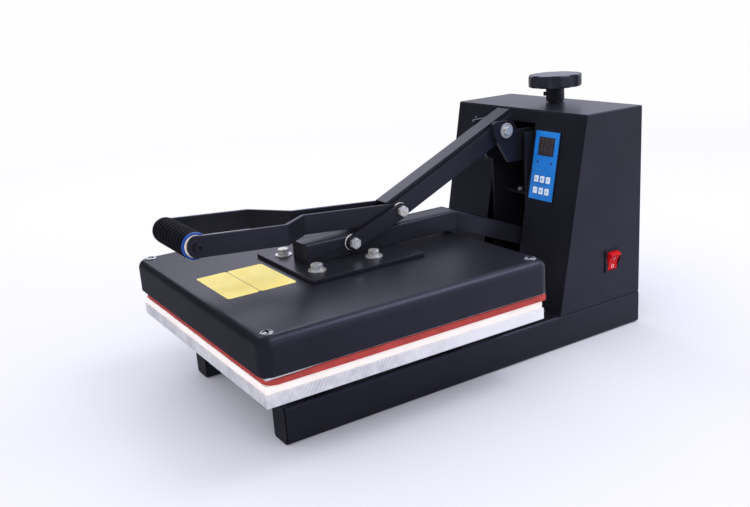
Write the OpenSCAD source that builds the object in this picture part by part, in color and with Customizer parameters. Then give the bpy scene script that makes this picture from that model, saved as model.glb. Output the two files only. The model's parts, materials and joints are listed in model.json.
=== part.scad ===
// Flat heat press: a square bed, a heated head on a hinged arm, and a toggle lever that locks it shut.
// The modules work in a bench frame: X to the right, Y to the back from the front ends of the base
// tubes, Z up from the table. in_frame() then puts the origin under the middle of the whole press.

/* [Bed] */
// Side of the square bed plate
bed_w = 380; // [350:1:400]
// Thickness of the aluminium bed plate
bed_t = 14.5; // [12:0.5:18]
// Height of the bed plate's underside above the table
bed_z = 81.2; // [76:0.2:90]
// Overhang of the bed plate in front of the base tubes
bed_overhang = 42.5; // [34:0.5:50]
// Thickness of the white foam pad
pad_t = 9.4; // [7:0.1:12]
// Step of the foam pad's edge back from the bed's edge
pad_inset = 0.6; // [0:0.1:3]
// Thickness of the silicone mat
mat_t = 7; // [5:0.1:9]
// Corner radius of the silicone mat in front
mat_corner_r = 15; // [5:1:30]
// Corner radius of the silicone mat at the back
mat_rear_r = 4; // [2:1:30]
// Overhang of the silicone mat past the bed's sides
mat_over = 1.5; // [0:0.1:3]
// Step of the mat's middle behind the bed's middle
mat_back = 3; // [0:0.5:5]
// Gap between the mat and the closed heat plate
closing_gap = 0.2; // [0.1:0.1:0.5]

/* [Base] */
// Width over both base tubes, and of the tower
base_w = 268; // [240:1:300]
// Length of the base, caps included
base_d = 572.4; // [560:0.2:590]
// Width of a base tube
tube_w = 32; // [26:1:40]
// Height of a base tube
tube_h = 46.5; // [40:0.5:55]
// Wall of the base tubes and cross bars
tube_wall = 2.5; // [1.5:0.1:4]
// Corner radius of the base tubes
tube_r = 4; // [2.6:0.1:6]
// Thickness of a tube's end cap
cap_t = 2; // [1:0.5:4]
// Length of an end cap's spigot in the tube
cap_spigot = 12; // [5:1:25]
// Clearance of an end cap's spigot in the tube
cap_play = 0.2; // [0.1:0.1:0.5]
// Width of a cross bar under the bed
cross_w = 40; // [30:1:60]
// Distance of each cross bar from the middle of the bed
cross_off = 95; // [60:1:130]
// Distance of a bed bolt from the middle plane
bed_bolt_x = 70; // [40:1:90]
// Depth of a bed bolt in the bed plate
bed_bolt_in = 9; // [6:0.5:10]

/* [Tower] */
// Height of the tower on the base tubes
tower_h = 265.2; // [260:0.2:290]
// Depth of the tower at its foot
tower_foot_d = 153.4; // [148:0.2:160]
// Depth of the tower at its top
tower_top_d = 103.4; // [98:0.2:110]
// Thickness of the tower's sheets
sheet_t = 2; // [1.2:0.1:3]
// Thickness of the tower's floor plate
floor_t = 4; // [3:0.5:6]
// Gap between the floor plate and the sheets
floor_gap = 0.3; // [0.2:0.1:0.8]
// Drop of the window's sill below the arm's hinge
sill_drop = 15; // [12:1:25]
// Space of the window round the columns and over the yoke's way
window_gap = 1.4; // [1:0.1:3]
// Sideways place of the screw in the tower's front
front_screw_x = -88.5; // [-110:0.5:-60]
// Drop of that screw below the tower's top
front_screw_drop = 22.8; // [15:0.2:40]
// Inset of the back's screws from its edges
back_screw_in = 14; // [9:1:30]
// Radius of a tower screw's head
tower_screw_r = 3.6; // [3:0.1:5]
// Height of a tower screw's head
tower_screw_h = 2; // [1:0.1:3]

/* [Columns] */
// Depth of a column plate
col_d = 117; // [112:1:120]
// Thickness of a column plate
col_t = 4.5; // [3:0.1:6]
// Gap between a column's back edge and the tower's back
col_back_gap = 4.4; // [2:0.1:6]
// Drop of a column's front top edge below the lever's pivot
col_top_drop = 5; // [3:0.5:10]
// Depth of the high rear part of a column
col_high_d = 64; // [54:1:68]
// Width of a column's foot
foot_w = 24; // [18:1:32]
// Thickness of a column's foot
foot_t = 5; // [3:0.5:8]
// Distance of the foot's bolts from its ends
foot_bolt_in = 29; // [15:1:45]
// Height of the brace between the columns above the hinge
brace_rise = 74; // [70:1:90]
// Step of the brace behind the columns' front edges
brace_in = 21; // [19:1:30]
// Depth of the brace
brace_d = 30; // [20:1:40]
// Thickness of the brace
brace_t = 4; // [3:0.5:6]
// Half the spacing of the brace's two bolts
brace_bolt_x = 8; // [6:1:15]
// Thickness of the bridge that holds the pressure screw
bridge_t = 8; // [6:0.5:9]
// Radius of the threaded boss on the bridge
boss_r = 14; // [12:0.5:18]
// Height of the boss over the bridge
boss_h = 3; // [1:0.5:3]

/* [Hinge] */
// Height of the arm's hinge above the mat
hinge_rise = 0.7; // [0:0.1:4]
// Distance of the arm's hinge from the tower's back
hinge_in = 72.4; // [68:0.2:80]
// Radius of the hinge shaft
shaft_r = 9; // [7:0.5:11]
// Radius of the shaft's middle, between the arm's legs
shaft_mid_r = 12; // [11.5:0.5:14]
// Radius of the arm's eyes on the shaft
hub_r = 17; // [14.5:0.5:20]
// Radius of the collars at the shaft's ends
collar_r = 15; // [12:0.5:18]
// Width of a collar at the shaft's end
collar_w = 7; // [4:0.5:10]
// Running clearance of a pin in its bore
run_gap = 0.05; // [0.02:0.01:0.1]
// Side clearance of pieces that turn past each other
side_gap = 0.3; // [0.2:0.1:0.6]

/* [Head] */
// Thickness of the heat plate
heat_t = 16; // [13:0.5:18]
// Edge of the heat plate that shows below the cover
heat_show = 4.2; // [2:0.2:6]
// Step of the heat plate's edge inside the cover's outside
heat_inset = 5; // [4:0.1:7]
// Overhang of the cover past the bed on every side
cover_over = 5; // [2:0.5:8]
// Step of the head's middle behind the bed's middle
platen_back = 1.5; // [0:0.5:4]
// Height of the cover
cover_h = 42; // [40:0.2:50]
// Wall of the cover
cover_wall = 1.5; // [1:0.1:2]
// Corner radius of the cover in plan
cover_r = 15; // [13:1:20]
// Radius of the cover's top edge
cover_edge_r = 11; // [5:0.5:12]
// Step of the cover's screws inside the cover's outside
cover_screw_in = 17; // [16:0.5:20]
// Radius of a cover screw's head
cover_screw_r = 7.2; // [5:0.1:8]
// Height of a cover screw's head
cover_screw_h = 2.6; // [1:0.1:3]
// Radius of the heating element's tube
element_r = 4; // [3:0.5:5]
// Spacing of the heating element's runs
element_pitch = 50; // [46:1:52]
// Number of the heating element's runs
element_runs = 6; // [4:2:6]
// Length of the element's straight runs
element_len = 250; // [200:5:270]
// Space between the insulation and its neighbours
insulation_gap = 0.6; // [0.3:0.1:0.9]
// Step of the insulation's edge inside the cover's wall
insulation_in = 16; // [14:1:30]
// Sideways place of the heater lead's gland on the cover's back
gland_x = 62; // [40:1:110]
// Drop of that gland's axis below the cover's top
gland_drop = 16; // [14:0.5:20]
// Radius of that gland's hexagon over its corners
gland_nut_r = 6.8; // [6:0.1:8]
// Radius of that gland's dome
gland_dome_r = 5.4; // [5:0.1:5.8]
// Radius of the gland's bush in the cover's wall
gland_r = 4.5; // [3:0.5:5]

/* [Arm] */
// Thickness of the arm's side plates
swing_t = 6; // [5:0.5:7]
// Height of the arm's beam
beam_h = 26; // [24:0.5:30]
// Length of the arm's beam
beam_len = 232.4; // [225:0.2:240]
// Distance of the beam's front end before the head's middle
beam_ahead = 42.5; // [38:0.5:60]
// Height of the arm's legs, square to their run
leg_h = 25; // [22:0.5:27]
// Length over which the legs step outwards
leg_step_len = 41; // [36:1:48]
// Wall of the box between the side plates
box_wall = 3; // [2:0.5:5]
// Thickness of the mount plate
mount_t = 5; // [4:0.5:8]
// Width of the mount plate
mount_w = 154; // [120:1:180]
// Depth of the mount plate
mount_d = 160; // [145:1:180]
// Distance of the mount plate's front edge before the head's middle
mount_ahead = 66.5; // [55:0.5:75]
// Sideways spacing of the mount bolts
mount_pitch_x = 90; // [80:1:100]
// Spacing of the mount bolts from front to back
mount_pitch_y = 82; // [60:1:90]
// Distance of the front mount bolts before the head's middle
mount_bolt_ahead = 43.5; // [38:0.5:50]
// Depth of a mount bolt in the heat plate
mount_bolt_in = 8; // [5:0.5:9]
// Radius of a spacer round a mount bolt
spacer_r = 8; // [7:0.5:9]

/* [Toggle] */
// Distance of the lower toggle pivot behind the head's middle
toe_back = 23.5; // [18:0.5:30]
// Drop of the lower toggle pivot below the beam's top
toe_drop = 9.5; // [9:0.5:13]
// Reach from the lower pivot to the knee, along the line to the lever's pivot
knee_reach = 79.8; // [72:0.2:86]
// Drop of the knee below that line, which locks the toggle shut
over_centre = 4; // [2:0.5:6]
// Width of a toggle link
link_w = 20; // [18:1:24]
// Thickness of a toggle link
link_t = 5; // [4:0.5:6]
// Thickness of a nylon washer between link and beam
nylon_t = 1.2; // [0.8:0.1:2]
// Radius of a nylon washer
nylon_r = 10.5; // [9:0.5:12]
// Radius of the toggle's pins
toe_pin_r = 5; // [4:0.5:6]
// Radius of a toggle bolt's hexagon head
toe_head_r = 7.5; // [6.5:0.5:9]
// Height of a toggle bolt's head
toe_head_h = 5.5; // [4:0.5:7]

/* [Lever] */
// Drop of the lever's pivot below the tower's top
pivot_drop = 24.2; // [20:0.2:28]
// Distance of the lever's pivot before the tower's face
pivot_out = 39.3; // [37:0.1:44]
// Radius of the lever's pivot pin
pivot_r = 6; // [5:0.5:7]
// Radius of the pivot bolt's washer
pivot_washer_r = 10.5; // [9.5:0.5:12]
// Thickness of the pivot bolt's washer
pivot_washer_t = 1.8; // [1:0.1:3]
// Radius of the pivot bolt's hexagon head
pivot_head_r = 8; // [7:0.5:9]
// Height of the pivot bolt's head
pivot_head_h = 5; // [3:0.5:6]
// Width of the lever's channel
channel_w = 25.2; // [24:0.2:28]
// Wall of the lever's channel
channel_wall = 2.5; // [2:0.1:4]
// Height of the channel's top over the lever bars
channel_proud = 5; // [3:0.5:8]
// Length of the channel behind the pivot
channel_tail = 26.6; // [24:0.2:28]
// Length of the channel in front of the knee
channel_nose = 10; // [9:0.5:20]
// Thickness of a lever bar
bar_t = 5; // [4:0.5:6]
// Height of a lever bar
bar_h = 25; // [23:0.5:26]
// Step of a bar's round front end over the bar's edges
eye_proud = 0.4; // [0.2:0.1:1]
// Length of a lever bar behind the pivot
bar_tail = 22.7; // [18:0.1:25]
// Gap between the closed lever and the beam
knee_gap = 1.5; // [1:0.1:3]
// Radius of the sleeve in the lever's knee
sleeve_r = 8; // [7:0.5:9]
// Drop of the handle's line below the knee
handle_drop = 3.5; // [2:0.5:6]
// Length by which the lever's upper run passes the knee
knee_lap = 12; // [8:0.5:14]

/* [Grip] */
// Distance of the grip's axis before the bed's front
grip_ahead = 3.5; // [0:0.5:10]
// Height of the grip's axis above the knee
grip_rise = 19.8; // [12:0.2:26]
// Distance between the handle bars at the grip
grip_span = 102; // [90:1:110]
// Length of the handle's wide part, from the grip's axis
wide_len = 111; // [95:0.5:120]
// Length over which the handle bars step inwards
jog_len = 42; // [30:1:50]
// Outer radius of the foam grip
foam_r = 16.2; // [13:0.1:18]
// Depth of the grooves in the foam grip
foam_groove = 1.4; // [0.5:0.1:2]
// Number of ribs on the foam grip
foam_ribs = 10; // [6:1:14]
// Width of a blue end ring
ring_w = 4; // [2:0.5:6]
// Outer radius of an end ring
ring_r = 15.6; // [12:0.1:18]
// Thickness of a washer beside the handle bar
grip_washer_t = 1.2; // [0.8:0.1:2]
// Radius of that washer
grip_washer_r = 13; // [11:0.5:15]
// Outer radius of the grip's steel tube
grip_tube_r = 8; // [7:0.5:10]
// Radius of a grip bolt
grip_bolt_r = 4; // [3:0.5:5]
// Length of a grip bolt in the tube
grip_bolt_in = 18; // [10:1:25]
// Radius of a grip bolt's head
grip_head_r = 6; // [5.5:0.1:8]
// Height of a grip bolt's head
grip_head_h = 4.5; // [3:0.1:6]
// Clearance of the foam, rings and washers on the tube
slip_gap = 0.1; // [0.05:0.05:0.3]

/* [Yoke] */
// Thickness of the yoke's ears
ear_t = 6; // [5:0.5:7]
// Gap between a lever bar and an ear
ear_gap = 1.2; // [0.8:0.1:2]
// Reach of an ear in front of the pivot
ear_ahead = 21; // [15:0.5:24]
// Height of an ear above the pivot
ear_over = 13.8; // [13:0.1:16]
// Drop of an ear's front edge below the pivot
ear_dip = 5; // [2:0.5:8]
// Reach of an ear's top behind the pivot
ear_behind = 4; // [2:0.5:6]
// Corner cut of an ear
ear_cut = 2.8; // [1:0.1:5]
// Depth of the yoke below the pivot
yoke_under = 45; // [40:0.5:48]
// Drop of the yoke's back part below the pivot
yoke_drop = 1.5; // [0:0.1:4]
// Depth of the crosshead in front of the pressure screw
head_front = 20; // [18:0.5:26]
// Depth of the crosshead behind the pressure screw
head_back = 16; // [14:0.5:20]

/* [Fasteners] */
// Radius of the frame and mount bolts' shanks
bolt_r = 4; // [3:0.5:5]
// Radius of a bolt's hexagon head over its corners
bolt_head_r = 7.5; // [6.5:0.5:9]
// Height of a bolt's head
bolt_head_h = 5.4; // [4:0.2:7]
// Radius of a mount bolt's flat washer
washer_r = 11.2; // [9:0.1:12]
// Thickness of a mount bolt's flat washer
washer_t = 1.6; // [1:0.1:2.5]
// Radius of a mount bolt's spring washer
spring_r = 7.2; // [6.5:0.1:8]
// Thickness of a mount bolt's spring washer
spring_t = 2.2; // [1:0.1:3]
// Radius of the brace's bolts
small_bolt_r = 2; // [1.5:0.5:3]
// Radius of a brace bolt's head over its corners
small_head_r = 3.8; // [3.4:0.1:5]
// Height of a brace bolt's head
small_head_h = 3; // [2:0.5:4]
// Radius of the knob's set screw
set_screw_r = 3; // [1:0.5:4]
// Height of the set screw's end over the knob's stem
set_screw_proud = 3.5; // [0.5:0.5:5]

/* [Pressure screw] */
// Distance of the pressure screw from the tower's back
screw_in = 32; // [30:0.5:40]
// Radius of the pressure screw
screw_r = 8; // [6:0.5:9]
// Rise of the yoke from its lowest setting
screw_travel = 6; // [3:0.5:7]
// Thickness of the screw's upper and lower collars
thrust_t = 4; // [3:0.5:5]
// Radius of those collars
thrust_r = 13; // [11:0.5:15]
// Clearance of the screw's hole in the tower's top
top_hole_gap = 3; // [1:0.5:4]
// Gap between the tower's top and the knob's stem
stem_gap = 1.6; // [0.5:0.1:3]
// Height of the knob's stem
stem_h = 20.5; // [14:0.5:24]
// Radius of the knob's stem
stem_r = 13.2; // [11:0.1:15]
// Height of the knob's rim
rim_h = 17.5; // [16:0.5:26]
// Outer radius of the knob
rim_r = 38.5; // [32:0.5:42]
// Number of lobes on the knob
lobes = 8; // [6:1:10]
// Depth of the hollows between the lobes
lobe_depth = 5; // [2:0.5:6]
// Radius of those hollows
hollow_r = 10.5; // [6:0.5:12]
// Radius of the knob's rounded edges
rim_edge_r = 3.5; // [3:0.5:8]

/* [Control panel] */
// Width of the blue overlay
panel_w = 45.4; // [44:0.2:52]
// Length of the blue overlay up the face
panel_l = 93.7; // [90:0.2:105]
// Sideways place of the panel's middle
panel_x = 68.6; // [66:0.2:90]
// Place of the panel's middle up the leaning face
panel_up = 195.4; // [180:0.2:200]
// Rim of the housing round the overlay
panel_rim = 1; // [0.5:0.1:2]
// Thickness of the housing's flange
flange_t = 1.5; // [1:0.1:2.5]
// Thickness of the overlay
overlay_t = 0.8; // [0.4:0.1:1.2]
// Depth of the housing behind the face
housing_d = 22; // [16:1:30]
// Wall of the housing
housing_wall = 1.8; // [1.2:0.1:2.5]
// Step of the housing's body inside its flange
housing_step = 2.2; // [1.5:0.1:3]
// Width of the display
display_w = 30; // [24:0.5:32]
// Height of the display
display_h = 24.8; // [20:0.2:30]
// Height of the display's middle above the panel's middle
display_up = 26.4; // [24:0.2:28]
// Half the spacing of the two indicator lamps
lamp_x = 13.3; // [8:0.1:16]
// Height of the lamps above the panel's middle
lamp_up = 4.6; // [0:0.2:6]
// Radius of an indicator lamp
lamp_r = 1.5; // [1:0.1:2]
// Width of a button
button_w = 7.6; // [6:0.1:8.4]
// Height of a button
button_h = 9; // [7:0.1:10]
// Sideways spacing of the buttons
button_pitch_x = 11.3; // [11:0.1:12.5]
// Spacing of the two rows of buttons
button_pitch_y = 15.9; // [13:0.1:17]
// Drop of the upper row below the panel's middle
button_drop = 18.4; // [16:0.2:22]
// Height of the buttons over the overlay
button_proud = 0.7; // [0.5:0.1:1]
// Travel of a button
button_travel = 0.6; // [0.3:0.1:0.8]
// Clearance round a button, lamp and display
panel_play = 0.3; // [0.2:0.05:0.4]
// Radius of a button's stem
button_stem_r = 1.5; // [1:0.1:2]
// Width of the lip that keeps a button in
button_lip = 1; // [0.6:0.1:1.2]
// Depth of the circuit board's face behind the tower's face
board_in = 7.1; // [5:0.1:10]
// Thickness of the circuit board
board_t = 1.6; // [1:0.1:2.4]

/* [Relay] */
// Width of the relay that switches the heater
relay_w = 45; // [35:1:50]
// Length of the relay over its fixing ears
relay_l = 58; // [45:1:65]
// Height of the relay
relay_h = 26; // [18:1:35]
// Thickness of the relay's base plate
relay_base = 4; // [2:0.5:6]
// Length of a fixing ear of the relay
relay_ear = 8; // [5:0.5:12]

/* [Switch and back] */
// Height of the switch's bezel
bezel_h = 31.5; // [30:0.5:34]
// Width of the switch's bezel
bezel_w = 26.5; // [25:0.5:30]
// Thickness of the bezel over the tower's side
bezel_t = 2; // [1:0.1:3]
// Distance of the switch from the tower's back
switch_in = 56.8; // [45:0.2:65]
// Height of the switch's middle above the base tubes
switch_up = 58.5; // [45:0.5:75]
// Depth of the switch's body in the tower
switch_d = 24; // [18:1:30]
// Swing radius of the rocker
rocker_r = 13.1; // [11:0.1:13.3]
// Width of the rocker
rocker_w = 18; // [15:0.5:20]
// Tilt of the rocker from one side to the other
rocker_throw = 40; // [24:1:44]
// Distance of the rocker's axle behind the bezel's face
rocker_face = 1; // [0.5:0.1:2]
// Depth of the hollow in the rocker's face
rocker_hollow = 2.6; // [1.5:0.1:3]
// Radius of the rocker's axle
rocker_axle_r = 2; // [1.5:0.5:3]
// Clearance of the rocker in its body
rocker_gap = 0.4; // [0.3:0.05:0.6]
// Sideways distance of the mains gland and the fuse from the middle plane
inlet_x = 70; // [50:1:100]
// Height of the gland and the fuse above the base tubes
inlet_up = 35; // [25:1:60]
// Radius of the gland's and the fuse's bush
inlet_r = 7; // [5:0.5:9]
// Length of the fuse holder and of the gland in the tower
inlet_d = 18; // [12:1:26]
// Radius of the gland's hole for the mains cord
cord_r = 4.2; // [3:0.1:4.8]
// Radius of the gland's hexagon over its corners
inlet_nut_r = 9.8; // [9:0.1:12]
// Radius of the gland's dome
inlet_dome_r = 7.7; // [7:0.1:8.5]
// Radius of the fuse holder's flange
fuse_flange_r = 9.1; // [9:0.1:12]
// Thickness of the fuse holder's flange
fuse_flange_t = 3.6; // [2:0.1:5]
// Radius of the fuse holder's cap
fuse_cap_r = 6.6; // [5:0.1:8]
// Height of the gland's and fuse's caps behind the tower
inlet_cap = 9; // [6:0.5:14]

/* [Hidden] */
$fn = 64;

// Heights of the stack, from the table up
mat_z = bed_z + bed_t + pad_t;
mat_top = mat_z + mat_t;
heat_z = mat_top + closing_gap;
heat_top = heat_z + heat_t;
cover_z = heat_z + heat_show;
cover_top = cover_z + cover_h;
beam_z = cover_top + mount_t;
beam_top = beam_z + beam_h;
beam_mid = beam_z + beam_h / 2;

// Places along Y
bed_y0 = -bed_overhang;
bed_yc = bed_y0 + bed_w / 2;
platen_yc = bed_yc + platen_back;
tower_yb = base_d;
tower_top_z = tube_h + tower_h;
front_lean = atan((tower_foot_d - tower_top_d) / tower_h);
function front_y(z) = tower_yb - tower_foot_d + (z - tube_h) * tan(front_lean);
front_screw_up = (tower_h - front_screw_drop) / cos(front_lean);
screw_y = tower_yb - screw_in;
beam_y0 = bed_yc - beam_ahead;
beam_y1 = beam_y0 + beam_len;

// Pivots in the side view, as [y, z]
hinge = [tower_yb - hinge_in, mat_top + hinge_rise];
pivot_z = tower_top_z - pivot_drop;
pivot = [front_y(pivot_z) - pivot_out, pivot_z];
toe = [bed_yc + toe_back, beam_top - toe_drop];
toggle_line = (pivot - toe) / norm(pivot - toe);
knee = toe + knee_reach * toggle_line - over_centre * [-toggle_line[1], toggle_line[0]];
grip = [bed_y0 - grip_ahead, knee[1] + grip_rise];
lever_len = norm(pivot - knee);
lever_tilt = atan2(pivot[1] - knee[1], pivot[0] - knee[0]);
handle_end = knee - [0, handle_drop];
handle_len = norm(handle_end - grip);
handle_tilt = atan2(handle_end[1] - grip[1], handle_end[0] - grip[0]);
leg_len = norm(hinge - [beam_y1, beam_mid]);
leg_tilt = atan2(hinge[1] - beam_mid, hinge[0] - beam_y1);

// Layers of the mechanism, outwards from the middle plane
bar_in = channel_w / 2;
bar_out = bar_in + bar_t;
beam_half = bar_out + side_gap * 3;
swing_in = beam_half - swing_t;
link_in = beam_half + side_gap / 2 + nylon_t;
link_out = link_in + link_t;
ear_in = bar_out + ear_gap;
ear_out = ear_in + ear_t;
leg_in = max(link_out, ear_out) + window_gap;
leg_out = leg_in + swing_t;
col_in = leg_out + side_gap * 3;
col_out = col_in + col_t;
window_half = col_out + window_gap;
grip_in = grip_span / 2;
grip_out = grip_in + bar_t;
foam_half = grip_in - grip_washer_t - ring_w;

// The yoke, the columns and the pressure screw
yoke_top = pivot_z - yoke_drop;
yoke_low = pivot_z - yoke_under;
col_y1 = tower_yb - sheet_t - col_back_gap;
col_y0 = col_y1 - col_d;
col_top = pivot_z - col_top_drop;
bridge_z = yoke_top + thrust_t + screw_travel + side_gap * 3;
floor_top = tube_h + floor_t;
brace_z = hinge[1] + brace_rise;
brace_bolt_y = col_y0 + brace_in + brace_d / 4;
foot_bolt_x = col_out + foot_w / 2;
foot_bolt_y = [col_y0 + foot_bolt_in, col_y1 - foot_bolt_in];
stem_z = tower_top_z + stem_gap;
rim_z = stem_z + stem_h;
rim_turns = [0:22.5:90];
window_low = hinge[1] - sill_drop;
window_high = yoke_top + screw_travel + window_gap;

// The head
cover_half = bed_w / 2 + cover_over;
heat_half = cover_half - heat_inset;
element_top = heat_top + 2 * element_r;
insulation_z = element_top + insulation_gap;
insulation_h = cover_top - cover_wall - insulation_gap - insulation_z;
insulation_half = cover_half - cover_wall - insulation_in;
insulation_r = 2 * cover_screw_in;
bolt_hole_r = bolt_r + run_gap;

// The control panel and the rocker
overlay_top = flange_t + overlay_t;
lip_top = -panel_play;
rocker_x = base_w / 2 + bezel_t - rocker_face;
rocker_reach = 90 - rocker_throw / 2 - asin(rocker_face / rocker_r);
rocker_chord = rocker_r * sin(rocker_reach);
rocker_waist = rocker_r * cos(rocker_reach) - rocker_hollow;
rocker_hollow_r = (rocker_chord * rocker_chord + rocker_hollow * rocker_hollow) / (2 * rocker_hollow);
switch_y = tower_yb - switch_in;
switch_z = tube_h + switch_up;

// The whole press stands with its origin under the middle of its depth
grip_front = grip[0] - max(foam_r, bar_h / 2);
press_back = tower_yb + inlet_cap;
mid_y = (grip_front + press_back) / 2;
past = 1;
// Dome of a pan head, as a multiple of the head's radius
pan_dome = 2.4;

module in_frame() translate([0, -mid_y, 0]) children();
module both_sides() { children(); mirror([1, 0, 0]) children(); }
module along_x(x0, x1) translate([x0, 0, 0]) rotate([90, 0, 90]) linear_extrude(x1 - x0) children();
module along_y(y0, y1) translate([0, y1, 0]) rotate([90, 0, 0]) linear_extrude(y1 - y0) children();
module rod_x(r, x0, x1, at) translate([x0, at[0], at[1]]) rotate([0, 90, 0]) cylinder(r = r, h = x1 - x0);
module hex_x(r, x0, x1, at) translate([x0, at[0], at[1]]) rotate([0, 90, 0])
    cylinder(r = r, h = x1 - x0, $fn = 6);
module rod_z(r, z0, z1, x, y) translate([x, y, z0]) cylinder(r = r, h = z1 - z0);
module hex_z(r, z0, z1, x, y) translate([x, y, z0]) cylinder(r = r, h = z1 - z0, $fn = 6);
module block(x0, x1, y0, y1, z0, z1) translate([x0, y0, z0]) cube([x1 - x0, y1 - y0, z1 - z0]);
module rounded(w, h, r) {
    square([w - 2 * r, h], center = true);
    square([w, h - 2 * r], center = true);
    for (x = [-1, 1], y = [-1, 1]) translate([x * (w / 2 - r), y * (h / 2 - r)]) circle(r);
}
// Places children on the leaning front: X sideways, Y up the face, Z out of it
module on_front(x, up) translate([x, front_y(tube_h) + up * sin(front_lean), tube_h + up * cos(front_lean)])
    rotate([90 - front_lean, 0, 0]) children();
module on_panel() on_front(panel_x, panel_up) children();
module plate(w, l, z0, z1, x = 0, y = 0) translate([x - w / 2, y - l / 2, z0]) cube([w, l, z1 - z0]);

// Base and bed

module base_tubes() color("#1c1c20") in_frame() both_sides()
    translate([base_w / 2 - tube_w / 2, 0, tube_h / 2]) along_y(cap_t, base_d - cap_t) difference() {
        rounded(tube_w, tube_h, tube_r);
        rounded(tube_w - 2 * tube_wall, tube_h - 2 * tube_wall, tube_r - tube_wall);
    }

module tube_end_caps() color("#18181a") in_frame() both_sides()
    translate([base_w / 2 - tube_w / 2, 0, tube_h / 2])
        for (end = [0, 1]) translate([0, end * base_d, 0]) mirror([0, end, 0]) {
            along_y(0, cap_t) rounded(tube_w, tube_h, tube_r);
            along_y(cap_t, cap_t + cap_spigot) square(
                [tube_w - 2 * (tube_r + cap_play), tube_h - 2 * (tube_wall + cap_play)], center = true);
        }

module cross_bars() color("#1c1c20") in_frame() for (side = [-1, 1]) difference() {
    half = base_w / 2 - tube_w / 2;
    y0 = bed_yc + side * cross_off - cross_w / 2;
    block(-half, half, y0, y0 + cross_w, tube_h, bed_z);
    block(-half - past, half + past, y0 + tube_wall, y0 + cross_w - tube_wall,
        tube_h + tube_wall, bed_z - tube_wall);
    for (x = [-bed_bolt_x, bed_bolt_x])
        rod_z(bolt_hole_r, tube_h - past, bed_z + past, x, y0 + cross_w / 2);
}

module bed_plate() color("#c4c4cc") in_frame() difference() {
    block(-bed_w / 2, bed_w / 2, bed_y0, bed_y0 + bed_w, bed_z, bed_z + bed_t);
    for (x = [-bed_bolt_x, bed_bolt_x], side = [-1, 1])
        rod_z(bolt_hole_r, bed_z - past, bed_z + bed_bolt_in + run_gap, x, bed_yc + side * cross_off);
}

module foam_pad() color("#f3e9e4") in_frame() {
    half = bed_w / 2 - pad_inset;
    block(-half, half, bed_yc - half, bed_yc + half, bed_z + bed_t, mat_z);
}

module silicone_mat() color("#b23a36") in_frame()
    translate([0, bed_yc + mat_back, mat_z]) linear_extrude(mat_t) hull() for (x = [-1, 1]) {
        half = bed_w / 2 + mat_over;
        translate([x * (half - mat_corner_r), mat_corner_r - half]) circle(mat_corner_r);
        translate([x * (half - mat_rear_r), half - mat_rear_r]) circle(mat_rear_r);
    }

module frame_bolts() color("#c9c9c4") in_frame() {
    for (x = [-bed_bolt_x, bed_bolt_x], side = [-1, 1]) {
        rod_z(bolt_r, tube_h - bolt_head_h / 2, bed_z + bed_bolt_in, x, bed_yc + side * cross_off);
        hex_z(bolt_head_r, tube_h - bolt_head_h, tube_h, x, bed_yc + side * cross_off);
    }
    foot_top = floor_top + foot_t;
    for (x = [-foot_bolt_x, foot_bolt_x], y = foot_bolt_y) {
        rod_z(bolt_r, tube_h, foot_top + bolt_head_h / 2, x, y);
        hex_z(bolt_head_r, foot_top, foot_top + bolt_head_h, x, y);
    }
    brace_top = brace_z + brace_t;
    for (x = [-brace_bolt_x, brace_bolt_x]) {
        rod_z(small_bolt_r, brace_z, brace_top + small_head_h / 2, x, brace_bolt_y);
        hex_z(small_head_r, brace_top, brace_top + small_head_h, x, brace_bolt_y);
    }
}

// Tower

module tower_floor() color("#26262a") in_frame() difference() {
    half = base_w / 2 - sheet_t - floor_gap;
    y0 = front_y(floor_top) + sheet_t / cos(front_lean) + floor_gap;
    block(-half, half, y0, tower_yb - sheet_t - floor_gap, tube_h, floor_top);
    for (x = [-foot_bolt_x, foot_bolt_x], y = foot_bolt_y)
        rod_z(bolt_hole_r, tube_h - past, floor_top + past, x, y);
}

module tower_front() color("#1a1a1f") in_frame() difference() {
    half = base_w / 2 - sheet_t;
    deep = sheet_t / cos(front_lean);
    top = tower_top_z - sheet_t;
    along_x(-half, half) polygon([[front_y(tube_h), tube_h], [front_y(tube_h) + deep, tube_h],
        [front_y(top) + deep, top], [front_y(top), top]]);
    block(-window_half, window_half, front_y(tube_h) - past, tower_yb, window_low, window_high);
    on_panel() plate(panel_w - 2 * housing_step + panel_rim, panel_l - 2 * housing_step + panel_rim,
        -housing_d, housing_d);
    on_front(front_screw_x, front_screw_up) translate([0, 0, -2 * sheet_t])
        cylinder(r = tower_screw_r / 2 + run_gap, h = 3 * sheet_t);
}

module tower_side() along_x(base_w / 2 - sheet_t, base_w / 2) polygon([[front_y(tube_h), tube_h],
    [tower_yb, tube_h], [tower_yb, tower_top_z], [front_y(tower_top_z), tower_top_z]]);

module tower_left() color("#2b2b32") in_frame() mirror([1, 0, 0]) tower_side();

module tower_right() color("#2b2b32") in_frame() difference() {
    tower_side();
    block(0, base_w, switch_y - bezel_w / 2 + bezel_t, switch_y + bezel_w / 2 - bezel_t,
        switch_z - bezel_h / 2 + bezel_t / 2, switch_z + bezel_h / 2 - bezel_t / 2);
}

module tower_top() color("#3a3a44") in_frame() difference() {
    half = base_w / 2 - sheet_t;
    low = tower_top_z - sheet_t;
    along_x(-half, half) polygon([[front_y(low), low], [tower_yb, low], [tower_yb, tower_top_z],
        [front_y(tower_top_z), tower_top_z]]);
    rod_z(screw_r + top_hole_gap, low - past, tower_top_z + past, 0, screw_y);
}

// Centres of the back's four screws, as [x, z]
back_screws = [for (x = [-1, 1], z = [tube_h + back_screw_in, tower_top_z - sheet_t - back_screw_in])
    [x * (base_w / 2 - sheet_t - back_screw_in), z]];

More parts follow.
